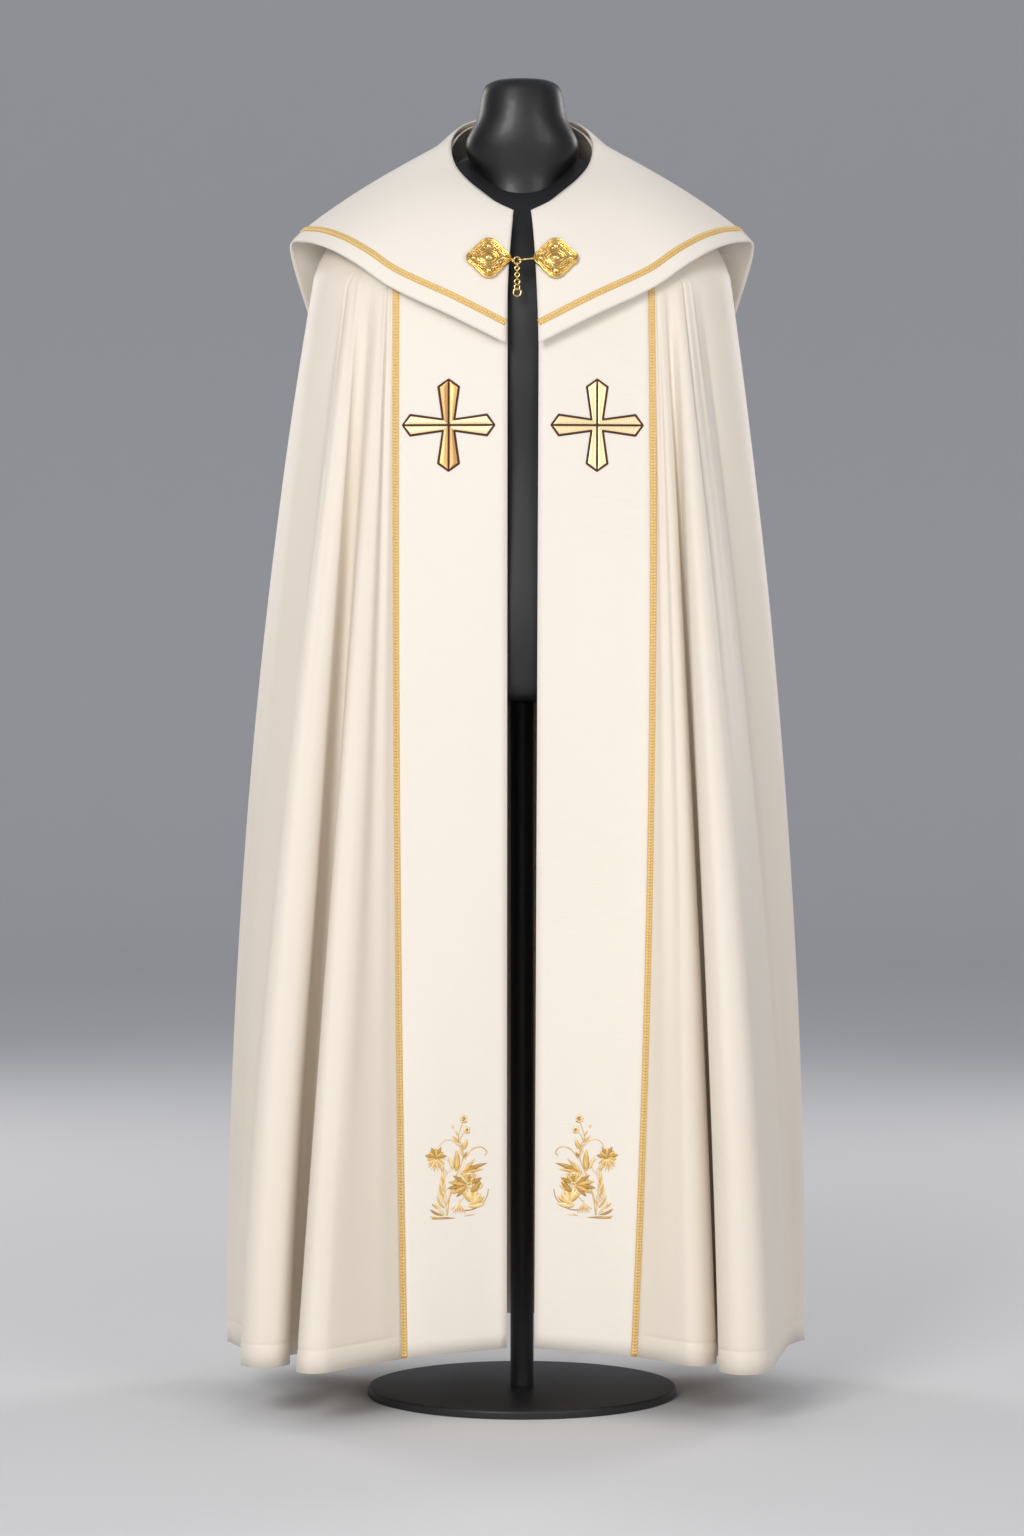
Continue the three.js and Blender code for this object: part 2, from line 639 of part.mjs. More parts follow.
function rightPlaqueGeometry() {
  const tip = plaqueTip(-1);
  const rim = eye.x - eye.radius;
  const stalk = wireAlong([
    tip.toArray(),
    [mix(tip.x, rim, 0.5), mix(tip.y, eye.y, 0.6), mix(tip.z, eye.z, 0.6)],
    [rim, eye.y, eye.z],
  ], eye.stalk);
  const knuckle = new THREE.SphereGeometry(eye.knuckle, 10, 6).translate(rim - eye.wire / 2, eye.y, eye.z);
  return toGeometry(joined([plaqueGeometry(-1), stalk, knuckle,
    wireRing(eye, eye.radius, eye.wire, 'front')]));
}

function leftPlaqueGeometry() {
  const tip = plaqueTip(1);
  const near = eye.x + eye.radius;
  const inHole = near - hook.clear;
  const height = eye.z + hook.over;
  const shank = wireAlong([
    tip.toArray(),
    [tip.x - 3, eye.y - hook.clear * 0.7, mix(tip.z, height, 0.6)],
    [near + 2, eye.y - hook.clear, height],
    [inHole + 0.6, eye.y - hook.clear * 0.8, height],
    [inHole - 0.1, eye.y, height],
    [inHole + 0.8, eye.y + hook.clear * 0.8, height],
    [near + 1.6, eye.y + hook.clear, height],
  ], hook.wire);
  return toGeometry(joined([plaqueGeometry(1), shank]));
}

const linkTop = eye.z - eye.radius + eye.wire + link.wire + link.play;
const linkBottom = linkTop - 2 * link.radius;
const linkGeometry = () => wireRing({ ...eye, z: linkTop - link.radius }, link.radius, link.wire, 'side');

// The chain below the top link: small links each way round, a double loop, and the end ring
function chainGeometry() {
  const rings = [];
  let top = linkBottom + 2 * link.wire + link.play;
  const hang = (radius, wire, facing, grip) => {
    rings.push(wireRing({ ...eye, z: top - radius }, radius, wire, facing));
    top += grip - 2 * radius;
  };
  ['front', 'side', 'front', 'side'].forEach((facing) => hang(chain.small, link.wire, facing, chain.grip));
  hang(chain.loop, link.wire, 'front', -chain.grip + link.wire);
  hang(chain.loop, link.wire, 'front', chain.grip);
  hang(chain.endRing, chain.endWire, 'front', 0);
  return toGeometry(joined(rings));
}

// ---- Dress form

function loftGeometry(rings) {
  const half = 2 / formRoundness;
  const rounded = (value) => Math.sign(value) * Math.abs(value) ** half;
  const heights = [];
  rings.slice(0, -1).forEach((row, i) => {
    const steps = Math.max(1, Math.round((rings[i + 1].z - row.z) / formRingStep));
    for (let k = 0; k < steps; k++) heights.push(mix(row.z, rings[i + 1].z, k / steps));
  });
  heights.push(rings[rings.length - 1].z);
  const points = heights.flatMap((z) => Array.from({ length: formSides }, (_, k) => {
    const angle = 2 * Math.PI * k / formSides;
    const reach = read(rings, 'z', Math.sin(angle) < 0 ? 'front' : 'back', z);
    return new THREE.Vector3(
      read(rings, 'z', 'halfWidth', z) * rounded(Math.cos(angle)), reach * rounded(Math.sin(angle)), z);
  }));
  const triangles = [];
  for (let r = 0; r < heights.length - 1; r++) {
    for (let k = 0; k < formSides; k++) {
      const [a, b] = [r * formSides + k, r * formSides + (k + 1) % formSides];
      triangles.push([a, b, b + formSides], [a, b + formSides, a + formSides]);
    }
  }
  const [bottom, top] = [points.length, points.length + 1];
  points.push(new THREE.Vector3(0, 0, heights[0]), new THREE.Vector3(0, 0, heights[heights.length - 1]));
  const lastRing = (heights.length - 1) * formSides;
  for (let k = 0; k < formSides; k++) {
    const next = (k + 1) % formSides;
    triangles.push([bottom, next, k], [top, lastRing + k, lastRing + next]);
  }
  return geometryOf(points, triangles);
}

// ---- Materials

const material = (name, color, roughness, metalness = 0) => {
  const made = new THREE.MeshStandardMaterial({ color, roughness, metalness });
  made.name = name;
  return made;
};
const ivory = material('ivory cloth', 0xefe6d8, 0.6);
const bandIvory = material('orphrey cloth', 0xf3ece2, 0.7);
const goldBraid = material('gold braid', 0xdfb457, 0.45, 0.5);
const goldThread = material('gold thread', 0xe2c078, 0.4, 0.3);
const brownThread = material('brown thread', 0x4a2c17, 0.7);
const gilt = material('gilt metal', 0xd9a53a, 0.28, 1);
const black = material('form black', 0x131417, 0.35);
const blackMetal = material('stand black', 0x1b1c1f, 0.4, 0.6);

// ---- Assembly

const firstMantle = orphreySteps;
const lastMantle = sheet[0].length - 1 - orphreySteps;
addPiece('mantle', panelGeometry(firstMantle, lastMantle, clothWall, true, true), ivory);
addPiece('orphrey_right', panelGeometry(0, firstMantle, orphreyWall, false, true), bandIvory);
addPiece('orphrey_left', panelGeometry(lastMantle, sheet[0].length - 1, orphreyWall, true, false), bandIvory);
addPiece('galloon_right', seamBraidGeometry(firstMantle), goldBraid);
addPiece('galloon_left', seamBraidGeometry(lastMantle), goldBraid);
addPiece('collar', collarGeometry(), ivory);
addPiece('galloon_collar', collarBraidGeometry(), goldBraid);
[['right', -1], ['left', 1]].forEach(([name, side]) => {
  const fill = onOrphrey(side, crossFill(), cross.across, cross.height, embroideryGap);
  addPiece(`cross_${name}`, fill, goldThread);
  const outlineGap = embroideryGap + cross.wall + seamGap;
  const outline = onOrphrey(side, crossOutline(), cross.across, cross.height, outlineGap);
  addPiece(`cross_outline_${name}`, outline, brownThread);
  const flowers = onOrphrey(side, sprayGeometry(side), spray.across, spray.height, spray.gap);
  addPiece(`spray_${name}`, flowers, goldThread);
});
addPiece('clasp_right', rightPlaqueGeometry(), gilt);
addPiece('clasp_left', leftPlaqueGeometry(), gilt);
addPiece('drop_link', linkGeometry(), gilt);
addPiece('drop_chain', chainGeometry(), gilt);
addPiece('form_torso', toGeometry(joined([loftGeometry(torsoRings), loftGeometry(neckRings)])), black);

const poleTop = torsoRings[0].z - seamGap;
const poleFoot = base.height + seamGap;
const poleGeometry = new THREE.CylinderGeometry(pole.radius, pole.radius, poleTop - poleFoot, pole.sides);
addPiece('form_pole', poleGeometry.rotateX(Math.PI / 2), blackMetal)
  .position.z = (poleTop + poleFoot) / 2;
const baseProfile = [[0, 0], [base.radius, 0], [base.radius, base.height - base.edge],
  [base.radius - base.edge, base.height], [0, base.height]].map(([r, z]) => new THREE.Vector2(r, z));
addPiece('form_base', new THREE.LatheGeometry(baseProfile, base.sides).rotateX(Math.PI / 2), blackMetal);

export default cope;
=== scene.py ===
import math
import bmesh
import bpy
import numpy as np
from mathutils import Matrix, Vector


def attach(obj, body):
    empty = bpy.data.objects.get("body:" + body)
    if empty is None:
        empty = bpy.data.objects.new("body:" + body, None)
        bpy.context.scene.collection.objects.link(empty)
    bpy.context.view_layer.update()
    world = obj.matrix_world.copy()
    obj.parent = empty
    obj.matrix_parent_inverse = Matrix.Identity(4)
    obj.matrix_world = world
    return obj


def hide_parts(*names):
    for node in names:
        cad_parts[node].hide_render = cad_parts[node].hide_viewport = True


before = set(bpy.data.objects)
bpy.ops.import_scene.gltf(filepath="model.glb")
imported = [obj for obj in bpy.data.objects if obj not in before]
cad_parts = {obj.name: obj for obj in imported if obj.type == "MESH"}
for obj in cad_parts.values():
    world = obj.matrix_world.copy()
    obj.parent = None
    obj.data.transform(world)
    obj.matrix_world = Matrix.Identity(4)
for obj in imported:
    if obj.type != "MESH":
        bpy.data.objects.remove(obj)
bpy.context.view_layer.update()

mm = 0.001


def newMesh(name, points, faces, material, body="root", uvs=None):
    mesh = bpy.data.meshes.new(name)
    mesh.from_pydata([tuple(p) for p in points], [], [tuple(int(i) for i in f) for f in faces])
    mesh.validate()
    if uvs is not None:
        layer = mesh.uv_layers.new(name="clothUv")
        loopVerts = np.empty(len(mesh.loops), dtype=np.int32)
        mesh.loops.foreach_get("vertex_index", loopVerts)
        layer.data.foreach_set("uv", np.asarray(uvs, dtype=np.float32)[loopVerts].ravel())
    mesh.polygons.foreach_set("use_smooth", [True] * len(mesh.polygons))
    mesh.update()
    obj = bpy.data.objects.new(name, mesh)
    bpy.context.scene.collection.objects.link(obj)
    mesh.materials.append(material)
    if body:
        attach(obj, body)
    return obj


def mix(a, b, t):
    return a + (b - a) * t


def smoothstep(a, b, x):
    t = np.clip((x - a) / (b - a), 0, 1)
    return t * t * (3 - 2 * t)


def readTable(rows, keyColumn, column, at):
    # smooth curve through one column of a table, the rows' keys rising
    keys = [row[keyColumn] for row in rows]
    last = len(rows) - 1
    i = min(max(next((n for n, k in enumerate(keys) if k > at), last) - 1, 0), last - 1)
    def slope(n):
        a, b = rows[max(n - 1, 0)], rows[min(n + 1, last)]
        return (b[column] - a[column]) / (b[keyColumn] - a[keyColumn])
    span = keys[i + 1] - keys[i]
    t = (at - keys[i]) / span
    return ((2 * t**3 - 3 * t**2 + 1) * rows[i][column] + (t**3 - 2 * t**2 + t) * span * slope(i)
            + (3 * t**2 - 2 * t**3) * rows[i + 1][column] + (t**3 - t**2) * span * slope(i + 1))


def unit(v):
    length = np.linalg.norm(v, axis=-1, keepdims=True)
    return v / np.maximum(length, 1e-9)


def gridNormals(grid):
    around = np.gradient(grid, axis=1)
    down = np.gradient(grid, axis=0)
    return unit(np.cross(around, down))


def wallFaces(rows, cols):
    # closed thin shell: an outer grid, then an inner grid, and the four edges between
    at = lambda r, c: r * cols + c
    under = lambda r, c: rows * cols + at(r, c)
    faces = []
    for r in range(rows - 1):
        for c in range(cols - 1):
            faces.append((at(r, c), at(r, c + 1), at(r + 1, c + 1), at(r + 1, c)))
            faces.append((under(r, c), under(r + 1, c), under(r + 1, c + 1), under(r, c + 1)))
        faces.append((at(r, 0), at(r + 1, 0), under(r + 1, 0), under(r, 0)))
        faces.append((at(r, cols - 1), under(r, cols - 1), under(r + 1, cols - 1), at(r + 1, cols - 1)))
    for c in range(cols - 1):
        faces.append((at(0, c), under(0, c), under(0, c + 1), at(0, c + 1)))
        faces.append((at(rows - 1, c), at(rows - 1, c + 1), under(rows - 1, c + 1), under(rows - 1, c)))
    return faces


def wallMesh(name, grid, normals, thickness, material, uvs):
    inner = grid - normals * thickness
    points = np.concatenate([grid.reshape(-1, 3), inner.reshape(-1, 3)]) * mm
    both = np.concatenate([uvs.reshape(-1, 2), uvs.reshape(-1, 2)])
    return newMesh(name, points, wallFaces(*grid.shape[:2]), material, uvs=both)


def tube(path, radius, sides=8, closed=False):
    # points and faces of a round wire along a path, with closed ends
    path = np.asarray(path, dtype=float)
    count = len(path)
    ahead = np.roll(path, -1, axis=0) - np.roll(path, 1, axis=0) if closed else np.gradient(path, axis=0)
    tangents = unit(ahead)
    helper = np.array([0.3, 0.2, 0.93])
    points, faces = [], []
    side = unit(np.cross(tangents[0], helper))
    for i in range(count):
        side = unit(side - tangents[i] * np.dot(side, tangents[i]))
        other = np.cross(tangents[i], side)
        r = radius[i] if hasattr(radius, "__len__") else radius
        for k in range(sides):
            a = 2 * math.pi * k / sides
            points.append(path[i] + r * (math.cos(a) * side + math.sin(a) * other))
    runs = count if closed else count - 1
    for i in range(runs):
        j = (i + 1) % count
        for k in range(sides):
            n = (k + 1) % sides
            faces.append((i * sides + k, i * sides + n, j * sides + n, j * sides + k))
    if not closed:
        faces.append(tuple(reversed(range(sides))))
        faces.append(tuple((count - 1) * sides + k for k in range(sides)))
    return points, faces


def joinParts(parts):
    points, faces = [], []
    for p, f in parts:
        base = len(points)
        points.extend(p)
        faces.extend(tuple(i + base for i in face) for face in f)
    return points, faces


shoulder = {"height": 1321, "halfWidth": 252, "front": 104, "back": 132, "roundness": 2.4}
hemHeight = 63
clothWall = 1.6

# the cloth's path round the hem. x, y: centre of a bend. bend: its radius, - a valley, 0 an edge or seam.
# hangs: turn on the shoulder that it falls from. spread: how early it reaches its place, 1 = straight.
# lift: of the hem above hemHeight. bow: how far it stands off to the left halfway down
hemShapes = ("hangs", "spread", "lift", "bow")
hemColumnsNamed = ("x", "y", "bend") + hemShapes
hemSteps = {"arcDegrees": 11, "run": 9, "smoothing": 6}
hemPath = [dict(zip(hemColumnsNamed, row)) for row in (
    (-18, -122, 0, 2.3, 1, 10, 0),        # right front edge
    (-137, -160, 0, 32, 1, 4, -4),        # right seam
    (-236, -228, 22, 37.5, 1, 0, -1),     # right flap
    (-258, -130, -14, 42, 1.1, 2, 0),
    (-296, -178, 28, 49, 1.35, 0, 0),     # right tube
    (-340, -88, -22, 54, 1.4, 0, 0),
    (-322, 12, 33, 86, 2.1, -2, 0),       # right side
    (-318, 95, -16, 102, 1.8, 0, 0),
    (-300, 165, 30, 117, 1.7, 0, 0),      # back folds from here
    (-232, 190, -16, 130, 1.5, 4, 0),
    (-178, 186, 30, 143, 1.4, 0, 0),
    (-119, 212, -18, 156, 1.3, 4, 0),
    (-60, 204, 31, 168, 1.3, 0, 0),
    (1, 216, -16, 180, 1.3, 4, 0),
    (59, 200, 30, 191, 1.3, 0, 0),
    (121, 209, -17, 204, 1.3, 4, 0),
    (184, 188, 31, 217, 1.4, 0, 0),
    (243, 184, -15, 230, 1.5, 4, 0),
    (292, 160, 29, 243, 1.7, 0, 0),
    (322, 98, -16, 258, 1.8, 0, 0),
    (309, 26, 32, 274, 2.1, -2, 0),       # left side
    (330, -42, -14, 307, 1.5, 0, 0),
    (252, -226, 30, 317, 1.3, 0, 0),      # left tube
    (222, -138, -10, 321, 1.1, 2, 0),
    (200, -178, 24, 323.5, 1, 1, 3),      # left flap
    (130, -148, 0, 327, 1, 4, 10),        # left seam
    (14, -122, 0, 357.3, 1, 10, 0),       # left front edge
)]
ringColumns = ("turn", "x", "y", "z")
neckline = [dict(zip(ringColumns, row)) for row in (
    (4, 10, -77, 1408), (25, 34, -69, 1421), (48, 60, -49, 1444), (72, 80, -18, 1472),
    (95, 85, 14, 1505), (125, 70, 44, 1530), (155, 36, 66, 1542), (180, 0, 72, 1545))]
collarEdge = [dict(zip(ringColumns, row)) for row in (
    (4, 19, -121, 1246), (24, 84, -117, 1279), (46, 155, -104, 1314), (60, 195, -90, 1343),
    (72, 230, -66, 1365), (84, 263, -30, 1378), (94, 279, 5, 1374), (104, 264, 56, 1315),
    (120, 243, 106, 1262), (140, 184, 152, 1196), (161, 96, 178, 1138), (180, 0, 187, 1106))]
# how much the collar's fall is bent: at the sides, and how much more at front and back
collarBend = {"side": 1.15, "front": 0.2}
yoke = {"ease": 6.5, "settle": 3, "reachFront": 0.6, "reachSide": 0.84}
yokeTurns = [dict(zip(("hangs", "neck", "edge"), row)) for row in (
    (2.3, 4, 4), (32, 68, 45), (90, 100, 93), (180, 180, 180))]


def ringPoint(rows, turn):
    half = turn if turn <= 180 else 360 - turn
    side = -1 if turn <= 180 else 1
    x, y, z = (readTable(rows, "turn", c, half) for c in ("x", "y", "z"))
    return np.array([side * x, y, z])


def collarPoint(turn, part):
    a, b = ringPoint(neckline, turn), ringPoint(collarEdge, turn)
    bend = collarBend["side"] + collarBend["front"] * math.cos(math.radians(turn)) ** 2
    out = 1 - max(1 - part, 0) ** bend
    return np.array([mix(a[0], b[0], out), mix(a[1], b[1], out), mix(a[2], b[2], part ** bend)])


def collarNormal(turn, part):
    around = collarPoint(turn + 0.5, part) - collarPoint(turn - 0.5, part)
    down = collarPoint(turn, part + 0.02) - collarPoint(turn, max(part - 0.02, 0))
    return unit(np.cross(around, down))


def shoulderPoint(turn):
    a = math.radians(turn)
    rounded = lambda v: math.copysign(abs(v) ** (2 / shoulder["roundness"]), v)
    reach = shoulder["front"] if math.cos(a) > 0 else shoulder["back"]
    x, y = -shoulder["halfWidth"] * rounded(math.sin(a)), -reach * rounded(math.cos(a))
    return np.array([x, y, shoulder["height"]])


def yokePoint(hangs, level):
    half = hangs if hangs <= 180 else 360 - hangs
    i = max(1, next(n for n, row in enumerate(yokeTurns) if row["hangs"] >= half - 1e-9))
    a, b = yokeTurns[i - 1], yokeTurns[i]
    t = (half - a["hangs"]) / (b["hangs"] - a["hangs"])
    turn = mix(mix(a["neck"], b["neck"], t), mix(a["edge"], b["edge"], t), level)
    turn = turn if hangs <= 180 else 360 - turn
    side = abs(math.sin(math.radians(hangs))) ** 2
    part = level * mix(yoke["reachFront"], yoke["reachSide"], side)
    under = collarPoint(turn, part) - collarNormal(turn, part) * yoke["ease"]
    return mix(under, shoulderPoint(hangs), level ** yoke["settle"])


def hemPoints(rows, arcStep, runStep):
    # arcs round the bends, joined by their common tangents
    headings = []
    for a, b in zip(rows[:-1], rows[1:]):
        gap = math.hypot(b["x"] - a["x"], b["y"] - a["y"])
        toNext = math.atan2(b["y"] - a["y"], b["x"] - a["x"])
        headings.append(toNext + math.asin((b["bend"] - a["bend"]) / gap))
    points = []
    for i, row in enumerate(rows):
        arrive, leave = headings[max(i - 1, 0)], headings[min(i, len(headings) - 1)]
        full = 2 * math.pi
        turned = -((arrive - leave) % full) if row["bend"] > 0 else (leave - arrive) % full
        steps = 0 if row["bend"] == 0 else max(2, 2 * round(abs(turned) / arcStep / 2))
        arc = []
        for k in range(steps + 1):
            heading = arrive + (turned * k / steps if steps else 0)
            x, y = row["x"] - row["bend"] * math.sin(heading), row["y"] + row["bend"] * math.cos(heading)
            arc.append([x, y, i, k == steps // 2])
        if points:
            start, end = points[-1], arc[0]
            runs = max(1, round(math.hypot(end[0] - start[0], end[1] - start[1]) / runStep))
            for k in range(1, runs):
                points.append([mix(start[0], end[0], k / runs), mix(start[1], end[1], k / runs), i, False])
        points.extend(arc)
    return points


def hemColumns(rows):
    points = hemPoints(rows, math.radians(hemSteps["arcDegrees"]), hemSteps["run"])
    xy = np.array([[p[0], p[1]] for p in points])
    station = np.concatenate([[0], np.cumsum(np.linalg.norm(np.diff(xy, axis=0), axis=1))])
    marks = [(station[n], p[2]) for n, p in enumerate(points) if p[3]]
    markAt = np.array([m[0] for m in marks])
    column = {name: np.interp(station, markAt, [rows[m[1]][name] for m in marks]) for name in hemShapes}
    column["rowAt"] = np.interp(station, markAt, [m[1] for m in marks])
    seamAt = [n for n, p in enumerate(points) if p[3] and p[2] in (1, len(rows) - 2)]
    return {"xy": xy, "station": station, "seams": seamAt, **column}


def smoothAlong(values, passes):
    for _ in range(passes):
        values[1:-1] = (values[:-2] + 2 * values[1:-1] + values[2:]) / 4
    return values


columns = hemColumns(hemPath)
firstSeam, lastSeam = columns["seams"]
for name in hemShapes:
    between = slice(firstSeam, lastSeam + 1)
    columns[name][between] = smoothAlong(columns[name][between], hemSteps["smoothing"])
# the line where the hem's turn-up is sewn, with the sheet's rows beside it
hemTurn = {"height": 26, "groove": 0.9, "halfWidth": 1.4, "rows": (4, 1.4, 0, -1.4, -4)}
fallHeight = shoulder["height"] - hemHeight
turnLevels = [1 - (hemTurn["height"] + d) / fallHeight for d in hemTurn["rows"]]
yokeLevels = np.linspace(0, 1, 15)[:-1]
fallLevels = np.array(sorted(list(np.linspace(0, 1, 76) ** 1.1) + turnLevels))


def hangingPoints(level):
    top = np.array([shoulderPoint(h) for h in columns["hangs"]])
    out = (1 - (1 - level) ** columns["spread"])[:, None]
    foot = hemHeight + columns["lift"]
    xy = top[:, :2] * (1 - out) + columns["xy"] * out
    xy[:, 0] += columns["bow"] * 4 * level * (1 - level)
    return np.concatenate([xy, mix(top[:, 2], foot, level)[:, None]], axis=1)


def ruled(rows, first, last):
    # straight across from one column to another, as the stiffened orphreys are
    part = np.linspace(0, 1, last - first + 1)[None, :, None]
    rows[:, first:last + 1] = mix(rows[:, first:first + 1], rows[:, last:last + 1], part)


sheetRows = [np.array([yokePoint(h, level) for h in columns["hangs"]]) for level in yokeLevels]
sheetRows += [hangingPoints(level) for level in fallLevels]
sheet = np.array(sheetRows)
ruled(sheet, 0, firstSeam)
ruled(sheet, lastSeam, sheet.shape[1] - 1)

# soft folds of the hanging cloth. at: place on the hem path, in its rows. lean: shift at the shoulder.
# top, foot: levels between which it shows. width, rise: mm, - a trough. Ends fade over a share of
# its length, and all fade beside the seams
creaseFade = {"share": 0.16, "least": 0.03, "seamFrom": 2, "seamTo": 26}
creaseColumns = ("at", "lean", "top", "foot", "width", "rise")
creases = [dict(zip(creaseColumns, row)) for row in (
    (1.74, -0.10, 0.02, 0.80, 17, 3.6), (1.46, -0.05, 0.00, 0.62, 15, -2.6),
    (1.24, 0.02, 0.04, 0.94, 13, 1.8), (1.90, 0.02, 0.40, 1.00, 11, -1.6),
    (2.34, 0.00, 0.10, 0.92, 10, 1.6), (3.62, 0.06, 0.05, 0.66, 14, 2.8),
    (3.96, 0.00, 0.14, 1.00, 10, -1.5), (4.30, -0.05, 0.28, 0.98, 14, 2.4),
    (4.62, 0.00, 0.02, 0.52, 15, -2.8), (5.45, 0.04, 0.16, 0.90, 16, 2.2),
    (5.78, 0.00, 0.42, 1.00, 12, -1.8), (6.25, 0.00, 0.06, 0.58, 18, 3.0),
    (6.72, 0.02, 0.34, 1.00, 15, -2.0), (7.42, 0.00, 0.10, 0.74, 16, 2.4),
    (8.10, 0.05, 0.24, 0.96, 12, -1.8), (8.58, 0.00, 0.02, 0.60, 15, 2.6),
    (9.44, 0.03, 0.30, 1.00, 14, 1.9), (10.12, 0.00, 0.08, 0.70, 12, -2.2),
    (10.60, -0.04, 0.36, 0.98, 15, 2.2), (11.48, 0.00, 0.04, 0.55, 14, 2.3),
    (12.08, 0.02, 0.22, 0.90, 11, -1.7), (12.55, 0.00, 0.46, 1.00, 15, 1.8),
    (13.46, 0.00, 0.06, 0.64, 14, 2.6), (14.02, -0.03, 0.28, 0.95, 12, -2.1),
    (14.52, 0.00, 0.02, 0.50, 16, 2.4), (15.45, 0.04, 0.33, 1.00, 14, 2.0),
    (16.05, 0.00, 0.12, 0.78, 12, -1.8), (16.58, 0.00, 0.40, 0.97, 15, 2.3),
    (17.46, -0.03, 0.05, 0.62, 14, 2.5), (18.08, 0.02, 0.26, 1.00, 12, -2.0),
    (18.52, 0.00, 0.03, 0.57, 15, 2.2), (19.30, 0.00, 0.32, 0.94, 17, 2.1),
    (19.72, 0.03, 0.08, 0.60, 15, -2.6), (20.30, 0.00, 0.18, 0.92, 17, 2.8),
    (20.66, -0.04, 0.46, 1.00, 13, -1.9), (21.40, 0.00, 0.05, 0.60, 15, 2.6),
    (21.70, 0.05, 0.02, 0.48, 13, -3.0), (22.02, 0.00, 0.24, 1.00, 13, 1.9),
    (22.34, 0.03, 0.50, 1.00, 11, -2.4), (23.62, 0.00, 0.12, 0.88, 10, 1.6),
    (24.12, 0.00, 0.36, 0.96, 12, -1.5), (24.36, 0.10, 0.04, 0.62, 16, -3.8),
    (24.60, 0.05, 0.06, 0.86, 13, 2.6), (24.82, 0.00, 0.00, 0.44, 11, -1.6),
)]


def creaseField(rowsAt, stationMm):
    # how far each point of the hanging rows stands off, along its normal
    field = np.zeros((len(fallLevels), len(stationMm)))
    markStation = np.interp(np.arange(len(hemPath)), rowsAt, stationMm)
    for crease in creases:
        centre = crease["at"] + crease["lean"] * (1 - fallLevels)
        middle = np.interp(centre, np.arange(len(hemPath)), markStation)[:, None]
        across = np.exp(-(((stationMm[None, :] - middle) / crease["width"]) ** 2))
        fade = creaseFade["share"] * (crease["foot"] - crease["top"]) + creaseFade["least"]
        along = smoothstep(crease["top"] - fade, crease["top"] + fade, fallLevels)
        if crease["foot"] < 1:
            along = along * (1 - smoothstep(crease["foot"] - fade, crease["foot"] + fade, fallLevels))
        field += crease["rise"] * along[:, None] * across
    return field


normals = gridNormals(sheet)
stations = columns["station"]
standsOff = creaseField(columns["rowAt"], stations)
fromTurn = (1 - fallLevels) * fallHeight - hemTurn["height"]
standsOff -= hemTurn["groove"] * np.exp(-(fromTurn / hemTurn["halfWidth"]) ** 2)[:, None]
fromSeam = np.minimum(stations - stations[firstSeam], stations[lastSeam] - stations)
seamFade = smoothstep(creaseFade["seamFrom"], creaseFade["seamTo"], fromSeam)
standsOff[:, :firstSeam + 1] = 0
standsOff[:, lastSeam:] = 0
standsOff *= seamFade[None, :]
sheet[len(yokeLevels):] += normals[len(yokeLevels):] * standsOff[:, :, None]

# slow waves of the orphreys. across: mm from the front edge. They fade over bandEdge at the edges
bandEdge = 14
waveColumns = ("side", "across", "height", "halfWidth", "halfHeight", "rise")
bandWaves = [dict(zip(waveColumns, row)) for row in (
    (-1, 30, 980, 34, 90, 1.3), (-1, 96, 760, 30, 120, -1.5),
    (-1, 40, 560, 36, 110, 1.6), (-1, 88, 400, 30, 80, 1.2),
    (-1, 22, 150, 26, 90, -1.8), (-1, 100, 140, 26, 80, 1.7),
    (1, 34, 930, 32, 110, -1.4), (1, 90, 850, 30, 90, 1.3),
    (1, 50, 640, 38, 120, -1.6), (1, 98, 470, 28, 100, 1.4),
    (1, 28, 420, 30, 90, 1.3), (1, 60, 140, 30, 80, -2.0),
    (1, 104, 170, 22, 90, 1.5))]


def bandWave(side, across, height):
    rise = 0.0
    for wave in bandWaves:
        if wave["side"] == side:
            rise = rise + wave["rise"] * np.exp(-((across - wave["across"]) / wave["halfWidth"]) ** 2
                                                - ((height - wave["height"]) / wave["halfHeight"]) ** 2)
    return rise


def edgeFade(across, width):
    return smoothstep(0, bandEdge, across) * (1 - smoothstep(width - bandEdge, width, across))


for side, first, last in ((-1, 0, firstSeam), (1, sheet.shape[1] - 1, lastSeam)):
    step = 1 if side < 0 else -1
    for c in range(first, last + step, step):
        across = np.linalg.norm(sheet[:, c] - sheet[:, first], axis=1)
        width = np.linalg.norm(sheet[:, last] - sheet[:, first], axis=1)
        rise = bandWave(side, across, sheet[:, c, 2]) * edgeFade(across, width)
        sheet[:, c] += normals[:, c] * rise[:, None]
normals = gridNormals(sheet)
print("sheet grid", sheet.shape)


def nodeTree(name):
    material = bpy.data.materials.new(name)
    material.use_nodes = True
    nodes = material.node_tree.nodes
    return material, nodes, material.node_tree.links, nodes["Principled BSDF"]


